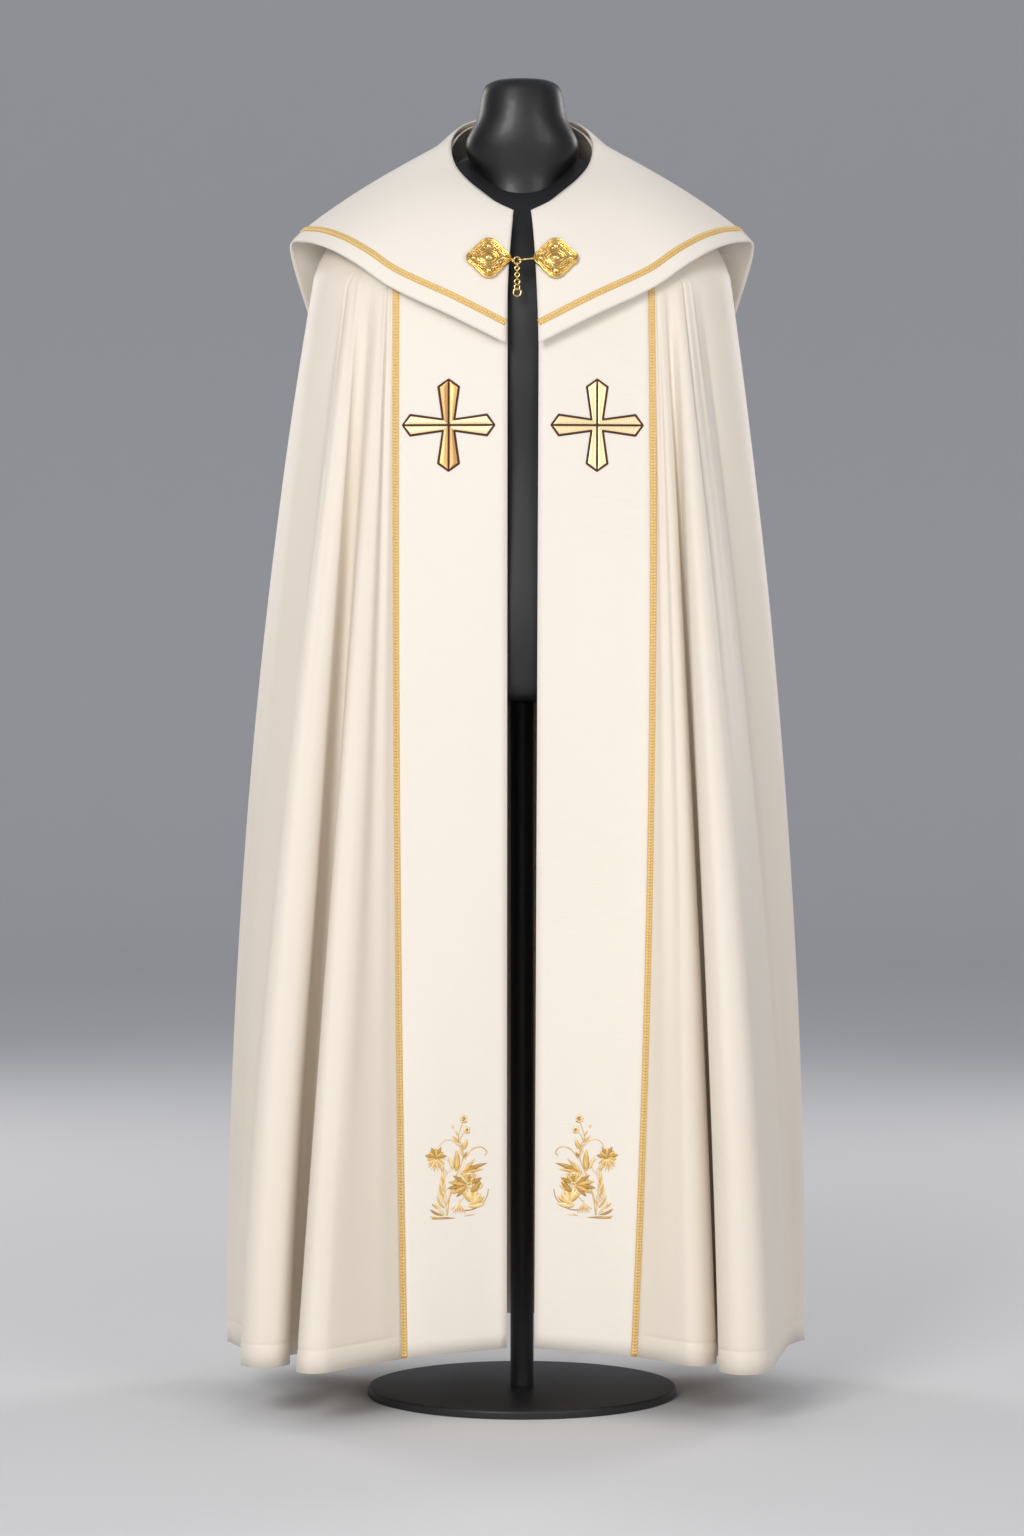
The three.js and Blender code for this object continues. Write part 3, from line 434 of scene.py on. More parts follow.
def clothMaterial(name, look):
    material, nodes, links, shader = nodeTree(name)
    shader.inputs["Roughness"].default_value = look["roughness"]
    shader.inputs["Sheen Weight"].default_value = look["sheen"]
    shader.inputs["Sheen Roughness"].default_value = 0.35
    shader.inputs["Sheen Tint"].default_value = (1, 0.95, 0.88, 1)
    shader.inputs["Specular IOR Level"].default_value = look["specular"]
    uv = nodes.new("ShaderNodeUVMap")
    uv.uv_map = "clothUv"
    def stretched(scale, detail):
        mapping = nodes.new("ShaderNodeMapping")
        mapping.inputs["Scale"].default_value = scale
        noise = nodes.new("ShaderNodeTexNoise")
        noise.inputs["Scale"].default_value = 1.0
        noise.inputs["Detail"].default_value = detail
        links.new(uv.outputs["UV"], mapping.inputs["Vector"])
        links.new(mapping.outputs["Vector"], noise.inputs["Vector"])
        return noise
    slub = stretched(look["slubScale"], 4)
    thread = stretched(look["threadScale"], 2)
    tone = stretched((3, 3, 1), 3)
    ramp = nodes.new("ShaderNodeValToRGB")
    ramp.color_ramp.elements[0].position = 0.3
    ramp.color_ramp.elements[0].color = look["shade"]
    ramp.color_ramp.elements[1].position = 0.72
    ramp.color_ramp.elements[1].color = look["colour"]
    blend = nodes.new("ShaderNodeMath")
    blend.operation = "MULTIPLY_ADD"
    blend.inputs[1].default_value = look["slubTone"]
    links.new(slub.outputs["Fac"], blend.inputs[0])
    links.new(tone.outputs["Fac"], blend.inputs[2])
    links.new(blend.outputs[0], ramp.inputs["Fac"])
    links.new(ramp.outputs["Color"], shader.inputs["Base Color"])
    height = nodes.new("ShaderNodeMath")
    height.operation = "ADD"
    links.new(slub.outputs["Fac"], height.inputs[0])
    links.new(thread.outputs["Fac"], height.inputs[1])
    bump = nodes.new("ShaderNodeBump")
    bump.inputs["Strength"].default_value = look["bump"]
    bump.inputs["Distance"].default_value = 0.0004
    links.new(height.outputs[0], bump.inputs["Height"])
    links.new(bump.outputs["Normal"], shader.inputs["Normal"])
    return material


def plainMaterial(name, colour, roughness, metallic=0.0, noiseScale=60, noiseBump=0.1, coat=0.0):
    material, nodes, links, shader = nodeTree(name)
    shader.inputs["Metallic"].default_value = metallic
    shader.inputs["Coat Weight"].default_value = coat
    where = nodes.new("ShaderNodeTexCoord")
    noise = nodes.new("ShaderNodeTexNoise")
    noise.inputs["Scale"].default_value = noiseScale
    noise.inputs["Detail"].default_value = 5
    links.new(where.outputs["Object"], noise.inputs["Vector"])
    ramp = nodes.new("ShaderNodeValToRGB")
    ramp.color_ramp.elements[0].position = 0.25
    ramp.color_ramp.elements[0].color = tuple(c * 0.72 for c in colour) + (1,)
    ramp.color_ramp.elements[1].position = 0.75
    ramp.color_ramp.elements[1].color = (*colour, 1)
    links.new(noise.outputs["Fac"], ramp.inputs["Fac"])
    links.new(ramp.outputs["Color"], shader.inputs["Base Color"])
    spread = nodes.new("ShaderNodeMapRange")
    spread.inputs["To Min"].default_value = roughness * 0.85
    spread.inputs["To Max"].default_value = min(1, roughness * 1.2)
    links.new(noise.outputs["Fac"], spread.inputs["Value"])
    links.new(spread.outputs["Result"], shader.inputs["Roughness"])
    bump = nodes.new("ShaderNodeBump")
    bump.inputs["Strength"].default_value = noiseBump
    bump.inputs["Distance"].default_value = 0.0006
    links.new(noise.outputs["Fac"], bump.inputs["Height"])
    links.new(bump.outputs["Normal"], shader.inputs["Normal"])
    return material


def threadMaterial(name, roughness, metallic):
    # each stitch keeps its own thread's colour with its painted highlight and painted sheen, varying a little
    # along it
    material, nodes, links, shader = nodeTree(name)
    shader.inputs["Roughness"].default_value = roughness
    shader.inputs["Metallic"].default_value = metallic
    shader.inputs["Sheen Weight"].default_value = 0.25
    shader.inputs["Sheen Roughness"].default_value = 0.3
    colour = nodes.new("ShaderNodeAttribute")
    colour.attribute_name = "threadColourAndSheen"
    where = nodes.new("ShaderNodeTexCoord")
    noise = nodes.new("ShaderNodeTexNoise")
    noise.inputs["Scale"].default_value = 900
    noise.inputs["Detail"].default_value = 3
    links.new(where.outputs["Object"], noise.inputs["Vector"])
    ramp = nodes.new("ShaderNodeMapRange")
    ramp.inputs["To Min"].default_value = 0.78
    ramp.inputs["To Max"].default_value = 1.12
    links.new(noise.outputs["Fac"], ramp.inputs["Value"])
    tint = nodes.new("ShaderNodeVectorMath")
    tint.operation = "SCALE"
    links.new(colour.outputs["Color"], tint.inputs[0])
    links.new(ramp.outputs["Result"], tint.inputs["Scale"])
    links.new(tint.outputs["Vector"], shader.inputs["Base Color"])
    bump = nodes.new("ShaderNodeBump")
    bump.inputs["Strength"].default_value = 0.25
    bump.inputs["Distance"].default_value = 0.0003
    links.new(noise.outputs["Fac"], bump.inputs["Height"])
    links.new(bump.outputs["Normal"], shader.inputs["Normal"])
    return material


mantleLook = {
    "colour": (0.86, 0.775, 0.665, 1), "shade": (0.80, 0.70, 0.58, 1), "roughness": 0.42, "sheen": 0.35,
    "specular": 0.5, "slubScale": (160, 1500, 1), "threadScale": (2600, 900, 1), "slubTone": 0.55,
    "bump": 0.5}
orphreyLook = {
    "colour": (0.89, 0.825, 0.74, 1), "shade": (0.84, 0.77, 0.675, 1), "roughness": 0.62, "sheen": 0.2,
    "specular": 0.35, "slubScale": (30, 700, 1), "threadScale": (1800, 1800, 1), "slubTone": 0.7,
    "bump": 0.5}
mantleCloth = clothMaterial("mantleCloth", mantleLook)
orphreyCloth = clothMaterial("orphreyCloth", orphreyLook)
goldBraid = plainMaterial("goldBraid", (1.0, 0.75, 0.33), 0.34, 0.3, 700, 0.3)
# the braid's tape is darker than its stitches: painted shade in the gaps between them
braidTapeShade = plainMaterial("braidTapeShade", (0.86, 0.56, 0.19), 0.5, 0.2, 900, 0.3)
goldThread = threadMaterial("goldThread", 0.36, 0.3)
brownThread = threadMaterial("brownThread", 0.9, 0.0)
giltMetal = plainMaterial("giltMetal", (1.0, 0.72, 0.27), 0.19, 1.0, 300, 0.12)
formBlack = plainMaterial("formBlack", (0.005, 0.005, 0.0055), 0.42, 0.0, 220, 0.05, 0.05)
standBlack = plainMaterial("standBlack", (0.02, 0.02, 0.022), 0.42, 0.2, 400, 0.05)
print("materials made")


def sheetArea(grid):
    a = np.cross(grid[1:, :-1] - grid[:-1, :-1], grid[:-1, 1:] - grid[:-1, :-1])
    b = np.cross(grid[1:, :-1] - grid[1:, 1:], grid[:-1, 1:] - grid[1:, 1:])
    return (np.linalg.norm(a, axis=-1).sum() + np.linalg.norm(b, axis=-1).sum()) / 2 * mm * mm


def sheetUvs(grid):
    down = np.concatenate([[0], np.cumsum(np.linalg.norm(np.diff(grid.mean(axis=1), axis=0), axis=1))])
    u = np.broadcast_to(columns["station"][None, :grid.shape[1]], grid.shape[:2])
    v = np.broadcast_to(down[:, None], grid.shape[:2])
    return np.stack([u, v], axis=-1) * mm


uvs = sheetUvs(sheet)
seamGap = 0.3
orphreyWall = 2.2
# flat: the cut's width and length in metres. The mantle's cut is half a round, less the two orphreys
# and the neck, so its area is given too
mantleCut = {"flat": (2.96, 1.48), "area": 3.03}
orphreyCut = {"flat": (0.137, 1.44), "area": None}
panels = {
    "mantle": (firstSeam, lastSeam + 1, clothWall, mantleCloth, "mantle_cloth", mantleCut),
    "orphrey_right": (0, firstSeam + 1, orphreyWall, orphreyCloth, "orphrey_cloth", orphreyCut),
    "orphrey_left": (lastSeam, sheet.shape[1], orphreyWall, orphreyCloth, "orphrey_cloth", orphreyCut),
}
for name, (start, stop, wall, material, slotName, cut) in panels.items():
    grid = sheet[:, start:stop].copy()
    if start:
        grid[:, 0] += unit(grid[:, 1] - grid[:, 0]) * seamGap / 2
    if stop < sheet.shape[1]:
        grid[:, -1] += unit(grid[:, -2] - grid[:, -1]) * seamGap / 2
    print(name, "area", round(sheetArea(grid), 3))
    piece = wallMesh(name + "_cloth", grid, normals[:, start:stop], wall, material, uvs[:, start:stop])
    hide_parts(name)
print("mantle and orphreys hung")


collarCut = {"from": 4, "to": 356, "columns": 181, "rows": 44, "wall": 2.4, "around": 1.6, "fall": 0.4,
             "flat": (0.74, 0.65), "area": 0.3}
collarTurns = np.linspace(collarCut["from"], collarCut["to"], collarCut["columns"])
collarLevels = np.linspace(0, 1, collarCut["rows"])
collarGrid = np.array([[collarPoint(t, level) for t in collarTurns] for level in collarLevels])
collarNormals = gridNormals(collarGrid)
collarUv = np.stack(np.meshgrid(np.linspace(0, collarCut["around"], len(collarTurns)),
                                np.linspace(0, collarCut["fall"], len(collarLevels))), axis=-1)
collar = wallMesh("collar_cloth", collarGrid, collarNormals, collarCut["wall"], orphreyCloth, collarUv)
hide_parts("collar")
print("collar area", round(sheetArea(collarGrid), 3))

formRoundness = 2.2
formColumns = ("z", "halfWidth", "front", "back")
torsoRings = [dict(zip(formColumns, row)) for row in (
    (830, 146, 84, 96), (842, 162, 94, 108), (930, 172, 99, 116), (1100, 146, 86, 96), (1220, 164, 92, 104),
    (1310, 184, 92, 110), (1365, 187, 76, 104), (1402, 174, 59, 96), (1435, 148, 37, 88),
    (1460, 110, 17, 76),
    (1479, 73, 0, 62), (1487, 56, -2, 52))]
neckRings = [dict(zip(formColumns, row)) for row in (
    (1400, 44, 40, 60), (1450, 50, 38, 62), (1494, 68, 49, 60), (1528, 54, 51, 54), (1556, 49, 48, 50),
    (1567, 44, 44, 45), (1571, 37, 37, 38))]


def loft(rings, sides=96, step=8):
    heights = []
    for a, b in zip(rings[:-1], rings[1:]):
        steps = max(2, round((b["z"] - a["z"]) / step))
        heights += [mix(a["z"], b["z"], k / steps) for k in range(steps)]
    heights.append(rings[-1]["z"])
    rounded = lambda v: math.copysign(abs(v) ** (2 / formRoundness), v)
    points = []
    for z in heights:
        half, front, back = (readTable(rings, "z", c, z) for c in ("halfWidth", "front", "back"))
        for k in range(sides):
            a = 2 * math.pi * k / sides
            reach = front if math.sin(a) < 0 else back
            points.append((half * rounded(math.cos(a)) * mm, reach * rounded(math.sin(a)) * mm, z * mm))
    faces = []
    for r in range(len(heights) - 1):
        for k in range(sides):
            n = (k + 1) % sides
            faces.append((r * sides + k, r * sides + n, (r + 1) * sides + n, (r + 1) * sides + k))
    faces.append(tuple(reversed(range(sides))))
    faces.append(tuple((len(heights) - 1) * sides + k for k in range(sides)))
    return points, faces


torso = newMesh("form_body", *joinParts([loft(torsoRings), loft(neckRings)]), formBlack)
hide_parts("form_torso")
print("form made")

def colourMesh(mesh, colours):
    layer = mesh.color_attributes.new(name="threadColourAndSheen", type="FLOAT_COLOR", domain="POINT")
    flat = np.ones((len(mesh.vertices), 4), dtype=np.float32)
    flat[:, :3] = colours
    layer.data.foreach_set("color", flat.ravel())


def mendNormals(obj):
    bm = bmesh.new()
    bm.from_mesh(obj.data)
    bmesh.ops.recalc_face_normals(bm, faces=bm.faces)
    bm.to_mesh(obj.data)
    bm.free()


def columnAt(index, height):
    # a point of one hanging column of the sheet at each height
    height = np.asarray(height, dtype=float)
    top = shoulderPoint(columns["hangs"][index])
    level = (shoulder["height"] - height) / (fallHeight - columns["lift"][index])
    out = (1 - (1 - level) ** columns["spread"][index])[:, None]
    xy = top[None, :2] * (1 - out) + columns["xy"][index][None, :] * out
    xy[:, 0] += columns["bow"][index] * 4 * level * (1 - level)
    return np.concatenate([xy, height[:, None]], axis=1)


def onBand(side, across, height, out):
    # places on an orphrey: mm from its front edge, height from the floor, mm off its face
    edge, seam = (0, firstSeam) if side < 0 else (-1, lastSeam)
    a, b = columnAt(edge, height), columnAt(seam, height)
    width = np.linalg.norm((b - a)[:, :2], axis=1)
    flat = unit(b - a)
    outward = np.stack([flat[:, 1], -flat[:, 0], np.zeros(len(flat))], axis=1) * side
    wave = bandWave(side, across, height) * edgeFade(across, width)
    return a + flat * np.asarray(across)[:, None] + outward * (out + wave)[:, None]


def splinePoints(points, step):
    # Catmull-Rom through the points, at about even steps
    points = [np.array(p, dtype=float) for p in points]
    ends = [2 * points[0] - points[1]] + points + [2 * points[-1] - points[-2]]
    line = []
    for i in range(1, len(ends) - 2):
        p0, p1, p2, p3 = ends[i - 1:i + 3]
        count = max(2, int(np.linalg.norm(p2 - p1) / step))
        for k in range(count):
            t = k / count
            line.append(0.5 * (2 * p1 + (p2 - p0) * t + (2 * p0 - 5 * p1 + 4 * p2 - p3) * t**2
                               + (3 * p1 - p0 - 3 * p2 + p3) * t**3))
    line.append(points[-1])
    return np.array(line)


# painted light in the stitch colours: a painted highlight lightens the middle of each run, and a painted
# sheen rises and falls along it
stitch = {"pitch": 0.9, "ridge": 0.075, "step": 0.34, "across": 6, "crown": 2.4, "grooveWidth": 0.2,
          "least": 0.16, "paintedHighlightMiddle": 0.10, "paintedSheenAlong": 0.05, "paintedSheenRun": 2.1}


def satin(spine, halves, colour, pad, groove=0.0, slant=0.9, base=0.08):
    # a padded run of satin stitches along a flat line: points (x, y, off the cloth), faces and colours, the
    # colours with a painted highlight down the middle and a painted sheen along the run
    spine = np.asarray(spine, dtype=float)
    length = np.concatenate([[0], np.cumsum(np.linalg.norm(np.diff(spine, axis=0), axis=1))])
    tangent = unit(np.gradient(spine, axis=0))
    side = np.stack([-tangent[:, 1], tangent[:, 0]], axis=1)
    v = np.linspace(-1, 1, stitch["across"] + 1)
    halves = np.broadcast_to(halves, len(spine))
    widest = halves.max()
    crown = (1 - np.abs(v) ** stitch["crown"])[None, :] * np.minimum(1, 1.3 * halves / widest)[:, None]
    slanting = length[:, None] - slant * np.abs(v)[None, :] * halves[:, None]
    ridge = stitch["ridge"] * np.sin(2 * math.pi * slanting / stitch["pitch"])
    grooved = 1 - groove * np.exp(-(v / stitch["grooveWidth"]) ** 2)
    height = base + pad * crown * grooved[None, :] + ridge * (crown > 0.05)
    xy = spine[:, None, :] + side[:, None, :] * (v[None, :, None] * halves[:, None, None])
    points = np.concatenate([xy, height[:, :, None]], axis=2).reshape(-1, 3)
    m = len(v)
    faces = []
    for r in range(len(spine) - 1):
        for c in range(m - 1):
            faces.append((r * m + c, r * m + c + 1, (r + 1) * m + c + 1, (r + 1) * m + c))
        faces.append((r * m, (r + 1) * m, (r + 1) * m + m - 1, r * m + m - 1))
    faces.append(tuple(range(m)))
    faces.append(tuple(reversed([(len(spine) - 1) * m + c for c in range(m)])))
    # painted sheen rising and falling along the run, and a painted highlight across its middle
    paintedSheen = stitch["paintedSheenAlong"] * np.sin(length / stitch["paintedSheenRun"])[:, None]
    shade = 1 + stitch["paintedHighlightMiddle"] * (1 - np.abs(v))[None, :] - paintedSheen
    colours = np.array(colour)[None, None, :] * shade[:, :, None]
    return points, faces, colours.reshape(-1, 3)


def blade(x, y, heading, length, width, bend=0.0, colour=(1, 1, 1), pad=0.9, groove=0.35, fullAt=0.8):
    # a leaf or petal from its foot, turning by bend degrees on its way to the tip
    count = max(6, int(length / stitch["step"]))
    t = np.linspace(0, 1, count + 1)
    turned = np.radians(heading + bend * t)
    step = length / count
    spine = np.stack([x + np.concatenate([[0], np.cumsum(np.cos(turned[:-1]) * step)]),
                      y + np.concatenate([[0], np.cumsum(np.sin(turned[:-1]) * step)])], axis=1)
    halves = np.maximum(stitch["least"], width / 2 * np.sin(math.pi * t ** fullAt) ** 0.8)
    return satin(spine, halves, colour, pad, groove)


def stem(points, width, colour, pad=0.6, taper=0.5):
    spine = splinePoints(points, stitch["step"])
    t = np.linspace(0, 1, len(spine))
    return satin(spine, width / 2 * (1 - taper * t), colour, pad, 0.0)


def ringStitch(x, y, radius, width, colour, start=0, sweep=340, pad=0.8):
    a = np.radians(start + np.linspace(0, sweep, max(10, int(radius * 6 / stitch["step"]))))
    return satin(np.stack([x + radius * np.cos(a), y + radius * np.sin(a)], axis=1), width / 2, colour, pad)


def embroider(name, side, across, height, parts, material):
    points, faces, colours = [], [], []
    for p, f, c in parts:
        base = sum(len(q) for q in points)
        points.append(p)
        colours.append(c)
        faces.extend(tuple(i + base for i in face) for face in f)
    flat, tint = np.concatenate(points), np.concatenate(colours)
    placed = onBand(side, across + flat[:, 0], height + flat[:, 1], flat[:, 2])
    obj = newMesh(name + "_stitches", placed * mm, faces, material)
    colourMesh(obj.data, tint)
    mendNormals(obj)
    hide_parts(name)


cross = {"across": 69, "height": 1152, "reach": 53.5, "inner": 6.5, "outer": 12, "point": 8.5, "pad": 1.1,
         "cord": 1.5, "cordPad": 1.35, "cordStep": 0.4, "cordLift": 0.3, "stitches": 0.5, "ridge": 0.09,
         "firstRow": 0.9, "lastRow": 0.7, "fadeUp": 0.22, "fadeAcross": 0.12,
         "pale": (1.0, 0.82, 0.47), "honey": (0.78, 0.50, 0.19), "tan": (0.58, 0.33, 0.11),
         "brown": (0.085, 0.026, 0.008)}


def armHalf(quarter, left, colour, fade):
    # half an arm: rows of stitches across it, from the mitre at the middle to its pointed end
    shoulderAt = cross["reach"] - cross["point"]
    rows = np.arange(cross["firstRow"], cross["reach"] - cross["lastRow"], cross["stitches"])
    v = np.linspace(0, 1, 8)
    half = np.where(rows < shoulderAt, mix(cross["inner"], cross["outer"], rows / shoulderAt),
                    cross["outer"] * (cross["reach"] - rows) / cross["point"])
    across = np.minimum(v[None, :] * half[:, None], rows[:, None])
    ridge = cross["ridge"] * np.cos(np.arange(len(rows)) * math.pi)[:, None]
    crown = np.sin(math.pi * np.clip(v, 0.02, 0.98)) ** 0.7
    height = 0.1 + cross["pad"] * crown[None, :] + ridge * (crown[None, :] > 0.2)
    x = -across if left else across
    angle = math.radians(90 * quarter)
    along = np.broadcast_to(rows[:, None], x.shape)
    flatX = x * math.cos(angle) - along * math.sin(angle)
    flatY = x * math.sin(angle) + along * math.cos(angle)
    points = np.stack([flatX, flatY, height], axis=2).reshape(-1, 3)
    m, faces = len(v), []
    for r in range(len(rows) - 1):
        for c in range(m - 1):
            faces.append((r * m + c, r * m + c + 1, (r + 1) * m + c + 1, (r + 1) * m + c))
        faces.append((r * m, (r + 1) * m, (r + 1) * m + m - 1, r * m + m - 1))
    faces.append(tuple(range(m)))
    faces.append(tuple(reversed([(len(rows) - 1) * m + c for c in range(m)])))
    tint = np.array(colour)[None, None, :] * (1 + fade * (along / cross["reach"] - 0.5))[:, :, None]
    tint = tint * (1 + 0.05 * np.sin(rows * 2.3) + 0.04 * np.sin(rows * 7.1))[:, None, None]
    return points, faces, tint.reshape(-1, 3)


def cordAlong(corners, closed=False):
    # a tight dark cord, seen as small slanting stitches
    path = [np.array(p, dtype=float) for p in corners]
    if closed:
        path.append(path[0])
    line = []
    for a, b in zip(path[:-1], path[1:]):
        count = max(2, int(np.linalg.norm(b - a) / cross["cordStep"]))
        line += [mix(a, b, k / count) for k in range(count)]
    line.append(path[-1])
    return satin(line, cross["cord"], cross["brown"], cross["cordPad"], slant=1.2, base=cross["cordLift"])


def armCorners(quarter):
    # the arm's outline from one inner corner round its tip to the other
    shoulderAt = cross["reach"] - cross["point"]
    corners = [(cross["inner"], cross["inner"] + 0.4), (cross["outer"], shoulderAt), (0, cross["reach"]),
               (-cross["outer"], shoulderAt), (-cross["inner"], cross["inner"] + 0.4)]
    angle = math.radians(90 * quarter)
    return [(x * math.cos(angle) - y * math.sin(angle), x * math.sin(angle) + y * math.cos(angle))
            for x, y in corners]


def makeCross(name, side, upright):
    fills = []
    for quarter in range(4):
        vertical = quarter % 2 == 0
        for left in (False, True):
            pair = upright if vertical else (cross["pale"], cross["pale"])
            fade = cross["fadeUp"] if vertical else cross["fadeAcross"]
            fills.append(armHalf(quarter, left, pair[int(left)], fade))
    embroider("cross_" + name, side, cross["across"], cross["height"], fills, goldThread)
    outline = [p for quarter in range(4) for p in armCorners(quarter)]
    cords = [cordAlong(outline, closed=True)]
    cords += [cordAlong([(0, 0), (cross["reach"] * x, cross["reach"] * y)])
              for x, y in ((0, 1), (-1, 0), (0, -1), (1, 0))]
    embroider("cross_outline_" + name, side, cross["across"], cross["height"], cords, brownThread)


makeCross("right", -1, (cross["tan"], cross["honey"]))
makeCross("left", 1, (cross["pale"], cross["pale"]))
print("crosses stitched")


# across: of its middle, from the front edge. height: of its middle, from the floor. Inside the spray
# everything is in mm from that middle, x towards the orphrey's seam
spray = {"across": 58, "height": 286, "pale": (0.93, 0.72, 0.36), "gold": (0.80, 0.52, 0.17),
         "deep": (0.55, 0.31, 0.07), "peach": (0.88, 0.63, 0.38)}


def sprayParts():
    pale, gold, deep, peach = (spray[k] for k in ("pale", "gold", "deep", "peach"))
    parts = [
        stem([(14, -57), (11, -36), (3, -12), (-5, 8), (-4, 24), (0, 34), (-5, 50)], 2.2, gold),
        stem([(13, -50), (19, -34), (17, -18), (15, -6), (22, 6)], 1.8, peach),
        stem([(9, -50), (1, -44), (-8, -34), (-11, -26)], 1.8, peach),
        stem([(-2, 31), (-5, 37), (-9, 39)], 1.3, gold),
        stem([(-5, 17), (3, 28), (14, 31), (22, 25), (20, 22)], 1.5, peach, taper=0.2),
        stem([(-7, 8), (-16, 19), (-27, 22), (-34, 16), (-31, 12)], 1.6, gold, taper=0.2),
        stem([(15, -10), (9, -2), (12, 6), (17, 9)], 1.3, peach),
    ]
    # two curled buds on top
    for x, y, radius in ((-6, 55, 3.4), (-10, 42, 2.8)):
        parts.append(ringStitch(x, y, radius, 2.8, pale, 200, 345))
        parts.append(ringStitch(x - 0.3, y - 0.2, radius * 0.35, 1.6, deep, 40, 300))
        parts.append(blade(x - radius * 1.3, y - radius, -10, radius * 2.6, 2.4, 40, deep))
    # sprigs and leaves up the stem
    for x, y, heading, length, width, bend, colour in (
            (0, 35, 55, 9, 2.4, 20, peach), (-3, 27, 30, 14, 3.0, 22, gold),
            (-4, 23, 20, 12, 2.4, 25, peach),
            (-5, 19, 122, 14, 5.4, -16, gold), (-5, 12, 70, 9, 3.2, -20, pale),
            (6, 44, 70, 6, 3.0, 30, pale),
            (3, -6, 100, 26, 7.4, -20, gold), (6, -4, 78, 18, 4.4, -26, pale),
            (-5, 10, 140, 9, 3.0, -30, deep)):
        parts.append(blade(x, y, heading, length, width, bend, colour))
    # fan leaf towards the front edge
    for heading, length, width, colour in ((152, 35, 5.6, deep), (163, 29, 4.8, gold), (142, 26, 4.4, gold),
                                           (174, 19, 3.8, pale), (132, 17, 3.6, peach)):
        parts.append(blade(-2, -9, heading, length, width, 16 if heading > 150 else -14, colour))
    # drooping daisy on the outer side
    for i in range(8):
        colour = deep if i % 2 else gold
        parts.append(blade(27, 11, -16 + 27 * i, 11 + (i % 2) * 2, 4.4, 0, colour, 1.3, 0.3, 1.3))
    for i in range(8):
        colour, fromMiddle = pale if i % 2 else gold, i - 3.5
        length = 16 - abs(fromMiddle) * 0.9
        parts.append(blade(27, 9, 196 + 21 * i, length, 2.9, -fromMiddle * 9, colour, 1.1, 0.3))
    for i in range(9):
        colour, y = deep if i % 2 else pale, 10.5 + 2.6 * math.sin(i * 1.9)
        parts.append(ringStitch(18.5 + 1.7 * i, y, 0.9, 1.5, colour, 0, 330))
    # the large open flower
    for heading, length, width, colour in (
            (-40, 20, 4.6, deep), (-22, 24, 5.2, gold), (-5, 26, 5.4, deep), (12, 25, 5.2, gold),
            (29, 22, 4.8, deep),
            (48, 18, 4.4, pale), (70, 15, 4.8, gold), (96, 13, 4.6, deep), (122, 16, 5.0, gold),
            (150, 18, 4.8, deep)):
        bend = 6 if heading > 20 else -6
        parts.append(blade(-12, -22, heading, length, width, bend, colour, 1.5, 0.5, 1.2))
    parts.append(blade(-25, -17, -82, 20, 8.0, 74, deep, 1.6))
    parts.append(blade(-29, -20, -62, 16, 5.2, 62, pale, 1.3))
    parts.append(ringStitch(-13, -22, 2.8, 2.8, pale, 30, 350, 1.5))
    # the rounded leaf below it
    for i in range(8):
        colour = gold if i % 3 == 1 else pale
        x, y, heading, length = -11 - i * 0.9, -46 + i * 0.5, 184 - i * 19, 23 - i * 0.8
        parts.append(blade(x, y, heading, length, 6.8, -24, colour, 1.0, 0.2))
    parts.append(stem([(-4, -51), (-14, -51), (-24, -47), (-33, -38), (-36, -27)], 1.6, deep, taper=0.4))
    # feathery leaves up the outer stem, grasses between, and the ground
    for i in range(8):
        y = -55 + i * 6.6
        parts.append(blade(16 + i * 0.3, y, 30 + i * 6, 20 - i * 1.1, 3.2, 44, gold if i % 2 else pale))
        colour = peach if i % 2 else pale
        parts.append(blade(16 + i * 0.3, y + 3, 122 - i * 4, 11 - i * 0.5, 2.2, -26, colour))
    for i in range(6):
        colour = peach if i % 2 else pale
        parts.append(blade(7 - i * 3.0, -55, 112 - i * 9, 18 - i * 1.2, 2.0, 16 - i * 6, colour, 0.8, 0))
    for x, y, heading, length, width, bend, colour in (
            (34, -49, 224, 19, 3.4, -44, deep), (33, -60, 176, 30, 2.8, 8, deep),
            (35, -57, 196, 26, 2.2, -24, gold),
            (-6, -58, 168, 15, 2.0, 14, peach), (32, -42, 232, 13, 2.6, -30, gold)):
        parts.append(blade(x, y, heading, length, width, bend, colour))
    return parts


for name, side in (("right", -1), ("left", 1)):
    embroider("spray_" + name, side, spray["across"], spray["height"], sprayParts(), goldThread)
print("sprays stitched")


# gold braid: a tape with two raised edges, and two rows of leaning stitches along it; the tape is coloured
# darker as painted shade between the stitches
braid = {"width": 8.0, "rise": 0.9, "pitch": 3.6, "beadLong": 4.5, "beadWide": 2.1, "beadHigh": 1.9,
         "lean": 40, "row": 1.6, "under": 0.05, "section": 4, "fromCollarEdge": 23, "startsAt": 6}


